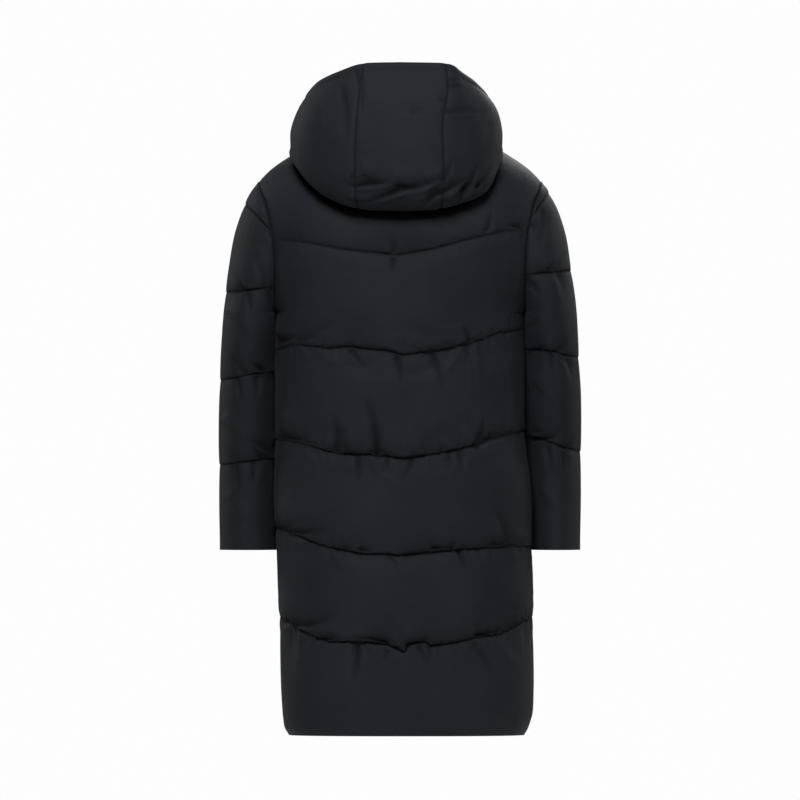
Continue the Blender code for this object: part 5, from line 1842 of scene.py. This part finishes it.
class Repeater(Nodes):
    """A Geometry Nodes tree that sets one small shape along lines."""

    def __init__(self, name: str, shape: str, **sizes: object) -> None:
        """Builds the tree.

        Args:
            name: of the tree.
            shape: type of the node that makes the small shape, its z along the line.
            sizes: values of that node's sockets, for a shape of 1 across.
        """
        super().__init__(bpy.data.node_groups.new(name, "GeometryNodeTree"))
        sockets = {"Lines": "Geometry", "Finish": "Material"}
        sockets.update(dict.fromkeys(("Pitch", "Width", "Height", "Length", "Stagger"), "Float"))
        for label, kind in sockets.items():
            self.tree.interface.new_socket(label, in_out="INPUT", socket_type="NodeSocket" + kind)
        self.tree.interface.new_socket("Result", in_out="OUTPUT", socket_type="NodeSocketGeometry")
        lines = self.node("NodeGroupInput", output="Lines")
        size = (lines.also(label) for label in ("Width", "Height", "Length"))
        scale = self.node("ShaderNodeCombineXYZ", None, *size)
        sized = self.node("GeometryNodeTransform", Geometry=self.node(shape, **sizes), Scale=scale)
        smooth = self.node("GeometryNodeSetShadeSmooth", None, sized)
        curve = self.node("GeometryNodeMeshToCurve", None, lines)
        evenly = {"mode": "LENGTH"}
        even = self.node(
            "GeometryNodeResampleCurve", evenly, Curve=curve, Length=lines.also("Pitch")
        )
        parity = self.math("MODULO", self.node("GeometryNodeInputIndex"), 2.0)
        apart = self.node("ShaderNodeCombineXYZ", X=(parity - 0.5) * lines.also("Stagger"))
        moved = self.node("GeometryNodeSetPosition", Geometry=even, Offset=apart)
        along = self.node("GeometryNodeInputTangent")
        turn = self.node("FunctionNodeAlignRotationToVector", {"axis": "Z"}, Vector=along)
        copies = self.node(
            "GeometryNodeInstanceOnPoints", Points=moved, Instance=smooth, Rotation=turn
        )
        real = self.node("GeometryNodeRealizeInstances", None, copies)
        finish = lines.also("Finish")
        dressed = self.node("GeometryNodeSetMaterial", Geometry=real, Material=finish)
        self.feed(self.tree.nodes.new("NodeGroupOutput").inputs[0], dressed)

    def run(self, name: str, lines: list[Grid], sizes: dict[str, object]) -> bpy.types.Object:
        """Sets the shape along lines.

        Args:
            name: of the finished piece.
            lines: points of each line.
            sizes: values of the tree's inputs.

        Returns:
            A plain mesh object.
        """
        points, edges, base = [], [], 0
        for line in lines:
            points += line.tolist()
            edges += [(base + k, base + k + 1) for k in range(len(line) - 1)]
            base += len(line)
        mesh = bpy.data.meshes.new(name + "_path")
        mesh.from_pydata(points, edges, [])
        path = put(name + "_path", mesh)
        modifier = path.modifiers.new("repeat", "NODES")
        modifier.node_group = self.tree
        for item in self.tree.interface.items_tree:
            if item.item_type == "SOCKET" and item.name in sizes:
                modifier[item.identifier] = sizes[item.name]
        seen = path.evaluated_get(bpy.context.evaluated_depsgraph_get())
        made = put(name, bpy.data.meshes.new_from_object(seen))
        made.data.name = name
        path.modifiers.remove(modifier)
        bpy.data.objects.remove(path, do_unlink=True)
        return made


@dataclass
class Stitching:
    """Rows of stitches on the quilting lines and the hood's hem."""

    pitch: float = 3.4 * MM
    length: float = 1.25 * MM
    thickness: float = 0.30 * MM

    def make(self, lines: list[Grid], material: bpy.types.Material) -> None:
        """Args:
            lines: points of each row of stitches.
            material: the thread.
        """
        tree = Repeater("stitches", "GeometryNodeMeshIcoSphere", Radius=1.0, Subdivisions=1)
        sizes = {
            "Pitch": self.pitch,
            "Width": self.thickness,
            "Height": self.thickness,
            "Length": self.length,
            "Stagger": 0.0,
            "Finish": material,
        }
        declare(tree.run("stitches", lines, sizes))


# ---------------------------------------------------------------- zip


@dataclass
class Zip:
    """Woven tapes behind the fronts' edges, moulded teeth between them, a slider and its tab."""

    flat: tuple[float, float] = (TAPE_WIDTH, 1.12)  # of each tape's cut
    area: float = 0.0179
    thickness: float = 1.0 * MM
    clearance: float = 0.5 * MM
    end: float = 12.0 * MM  # from the hem to the zip's foot
    pitch: float = 1.35 * MM
    tooth: tuple[float, float, float] = (3.2 * MM, 2.3 * MM, 1.15 * MM)
    stagger: float = 1.9 * MM  # across, between the teeth of one side and the other
    rows: int = 220  # of the tapes
    low_row: int = 10  # the front's row on which the tape's width is measured
    last_columns: int = 30  # the hood's columns among which the tape's edge lies

    def closing(self, front: Cloth, hood: Cloth) -> tuple[Grid, Grid]:
        """The fronts' inner skin beside the zip, from its foot to its head.

        Args:
            front: grid of the left front.
            hood: grid of the hood's left side.

        Returns:
            Points at the middle and at the tape's width, and the way out at each row.
        """
        at = int(np.argmin(np.abs(front.skin[self.low_row, :, 0] - TAPE_WIDTH))) + 1
        off = np.abs(hood.skin[0, -self.last_columns :, 0] - TAPE_WIDTH)
        near = int(np.argmin(off)) - self.last_columns - 1
        strip = np.vstack([front.inner[:, [0, at]], hood.inner[:, [-1, near]]])
        heights = strip[:, 0, 2]
        order = np.linspace(0.0, 1.0, len(strip))
        ends = np.interp([HEM + self.end, heights[-1] - self.end / 3], heights, order)
        places = np.linspace(*ends, self.rows)
        found = np.empty((len(places), 2, 3))
        for column in range(2):
            for axis in range(3):
                found[:, column, axis] = np.interp(places, order, strip[:, column, axis])
        along = np.gradient(found[:, 0], axis=0)
        out = unit(np.stack([0 * along[:, 0], -along[:, 2], along[:, 1]], axis=-1))
        return found, out

    def make(
        self, line: Grid, out: Grid, tape: bpy.types.Material, plastic: bpy.types.Material
    ) -> None:
        """Args:
            line: the fronts' inner skin beside the zip.
            out: the way out at each row.
            tape: finish of the tapes.
            plastic: finish of the teeth.
        """
        beyond = (TAPE_WIDTH - FRONT_EDGE) / (line[:, 1, 0] - line[:, 0, 0])
        far = mix(line[:, 0], line[:, 1], np.minimum(beyond, 1.0)[:, None])
        for side in Side:
            way = side.value
            columns = [line[:, 0] * (0.0, 1.0, 1.0) + (GAP * way, 0.0, 0.0)]
            columns += [mix(line[:, 0], far, s) * (way, 1.0, 1.0) for s in np.linspace(0, 1, 6)]
            near = np.stack(columns, axis=1) - out[:, None] * self.clearance
            far_side = near - out[:, None] * self.thickness
            shell = Shell(f"zip_tape_{side.label}_woven", near, far_side, every=1)
            node = f"zip_tape_{side.label}"
            declare(shell.make(tape), node)
        path = line[:, 0] * (0.0, 1.0, 1.0) + out * 0.9 * MM
        shape = {"Vertices": 8, "Radius": 0.5, "Depth": 1.0}
        tree = Repeater("zip_teeth", "GeometryNodeMeshCylinder", **shape)
        sizes = dict(zip(("Width", "Height", "Length"), self.tooth))
        sizes |= {"Pitch": self.pitch, "Stagger": self.stagger, "Finish": plastic}
        declare(tree.run("zip_teeth_moulded", [path], sizes), "zip_chain")

    def enamel(self, material: bpy.types.Material) -> None:
        """Gives the slider and its tab their finish."""
        for name in ("zip_slider", "zip_pull"):
            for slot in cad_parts[name].material_slots:
                slot.material = material
            LOG.info("%s: finished", name)


# ---------------------------------------------------------------- studio


@dataclass(frozen=True)
class Lamp:
    """A soft square light that faces the coat's middle."""

    name: str
    place: tuple[float, float, float]
    size: float  # of its side, in metres
    power: float  # in watts

    def make(self) -> None:
        """Builds the light."""
        lamp = bpy.data.lights.new(self.name, "AREA")
        lamp.size, lamp.energy = self.size, self.power
        made = put(self.name, lamp)
        made.location = self.place
        made.visible_camera = False
        away = np.array(self.place) - np.array((0.0, 0.0, -0.5))
        tilt = math.atan2(math.hypot(away[0], away[1]), away[2])
        made.rotation_euler = (tilt, 0.0, math.atan2(away[1], away[0]) + math.pi / 2)


@dataclass
class Studio:
    """Camera, soft lights and a pale floor."""

    span: float = 1.40
    height: float = -0.455  # of the camera
    distance: float = 30.0
    sensor: float = 36.0
    floor_height: float = -1.42
    floor_radius: float = 1.5
    backdrop: float = 0.985
    ambient: float = 0.078
    lamps: tuple[Lamp, ...] = (
        Lamp("key", (0.28, 2.9, 2.0), 1.2, 124.0),
        Lamp("fill", (-2.2, 3.0, -0.2), 2.0, 6.0),
        Lamp("front", (-0.8, -3.2, 2.0), 1.6, 150.0),
        Lamp("side_left", (3.2, -1.9, 1.0), 1.4, 50.0),
        Lamp("side_right", (-3.2, -1.9, 1.0), 1.4, 50.0),
    )

    def make(self, floor: bpy.types.Material) -> None:
        """Builds the studio round the coat.

        Args:
            floor: finish of the floor.
        """
        scene = bpy.context.scene
        lens = bpy.data.cameras.new("camera")
        lens.sensor_width = self.sensor
        lens.lens = self.sensor * self.distance / self.span
        lens.clip_end = 3.0 * self.distance
        camera = put("camera", lens)
        camera.location = (0.0, self.distance, self.height)
        camera.rotation_euler = (math.pi / 2, 0.0, math.pi)
        scene.camera = camera
        scene.view_settings.view_transform = "Standard"
        self.world(scene)
        for lamp in self.lamps:
            lamp.make()
        bm = bmesh.new()
        bmesh.ops.create_circle(bm, cap_ends=True, segments=96, radius=self.floor_radius)
        mesh = bpy.data.meshes.new("floor")
        bm.to_mesh(mesh)
        bm.free()
        mesh.transform(Matrix.Translation((0.0, 0.0, self.floor_height)))
        mesh.materials.append(floor)
        put("floor", mesh)

    def world(self, scene: bpy.types.Scene) -> None:
        """A pale backdrop all round that lights the coat only softly.

        Args:
            scene: the scene that gets it.
        """
        world = bpy.data.worlds.new("studio")
        world.use_nodes = True
        nodes = Nodes(world.node_tree)
        seen = Sock(nodes, nodes.tree.nodes["Background"].outputs[0])
        soft = nodes.node("ShaderNodeBackground")
        for sock, strength in ((seen, self.backdrop), (soft, self.ambient)):
            for name, value in (("Color", WHITE), ("Strength", strength)):
                nodes.feed(sock.socket.node.inputs[name], value)
        camera = nodes.node("ShaderNodeLightPath", output="Is Camera Ray")
        both = nodes.node("ShaderNodeMixShader", None, camera, soft, seen)
        nodes.feed(nodes.tree.nodes["World Output"].inputs[0], both)
        scene.world = world


# ---------------------------------------------------------------- the coat


def mirrored(folds: Folds) -> Folds:
    """The left front's creases, moved to the right front's own quilting lines.

    Args:
        folds: rows of start x and z, end x and z, half width and depth in millimetres.

    Returns:
        The rows for the right front.
    """
    found = []
    for x0, z0, x1, z1, wide, depth in folds:
        share = x0 * MM / float(BODY.at("left", z0 * MM))
        left, right = (mix(LINES["tip"], LINES[side], share) / MM for side in SIDES)
        nearest = int(np.argmin(np.abs(left - z0)))
        drop = float(right[nearest] - left[nearest])
        found.append((6 - x0, z0 + drop, 4 - x1, z1 + drop, wide, depth))
    return found


def main() -> None:
    """Builds and dresses the coat's pieces in order."""
    logging.basicConfig(level=logging.INFO, format="%(asctime)s %(name)s %(message)s")
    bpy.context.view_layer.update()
    cloth = PufferCloth().make()
    back = BodyPanel("back", (0.62, 1.13), 0.63, folds=BACK_FOLDS)
    folds = mirrored(FRONT_FOLDS)
    fronts = [
        BodyPanel("front_left", (0.32, 1.12), 0.308, Face.FRONT, Side.LEFT, FRONT_FOLDS, SEED + 1),
        BodyPanel("front_right", (0.33, 1.12), 0.317, Face.FRONT, Side.RIGHT, folds, SEED + 2),
    ]
    sleeves = [Sleeve(f"sleeve_{side.label}", (0.42, 0.65), 0.2225, side) for side in Side]
    hood = [
        HoodPanel("hood_centre", (0.16, 0.48), 0.0696, count=73),
        HoodPanel("hood_left", (0.40, 0.46), 0.0863, HOOD_SEAM, 1.0),
        HoodPanel("hood_right", (0.40, 0.46), 0.0822, -HOOD_SEAM, -1.0),
    ]
    lines: list[Grid] = []
    for piece in (back, *fronts, *sleeves, *hood):
        piece.make(cloth)
        lines += piece.stitches
    Stitching().make(lines, Finish.THREAD.value.make())
    closure = Zip()
    line, out = closure.closing(fronts[0].cloth(), hood[1].cloth())
    closure.make(line, out, WovenTape().make(), Finish.TEETH.value.make())
    closure.enamel(BlackMetal().make())
    Studio().make(PaleFloor().make())


if __name__ == "__main__":
    main()
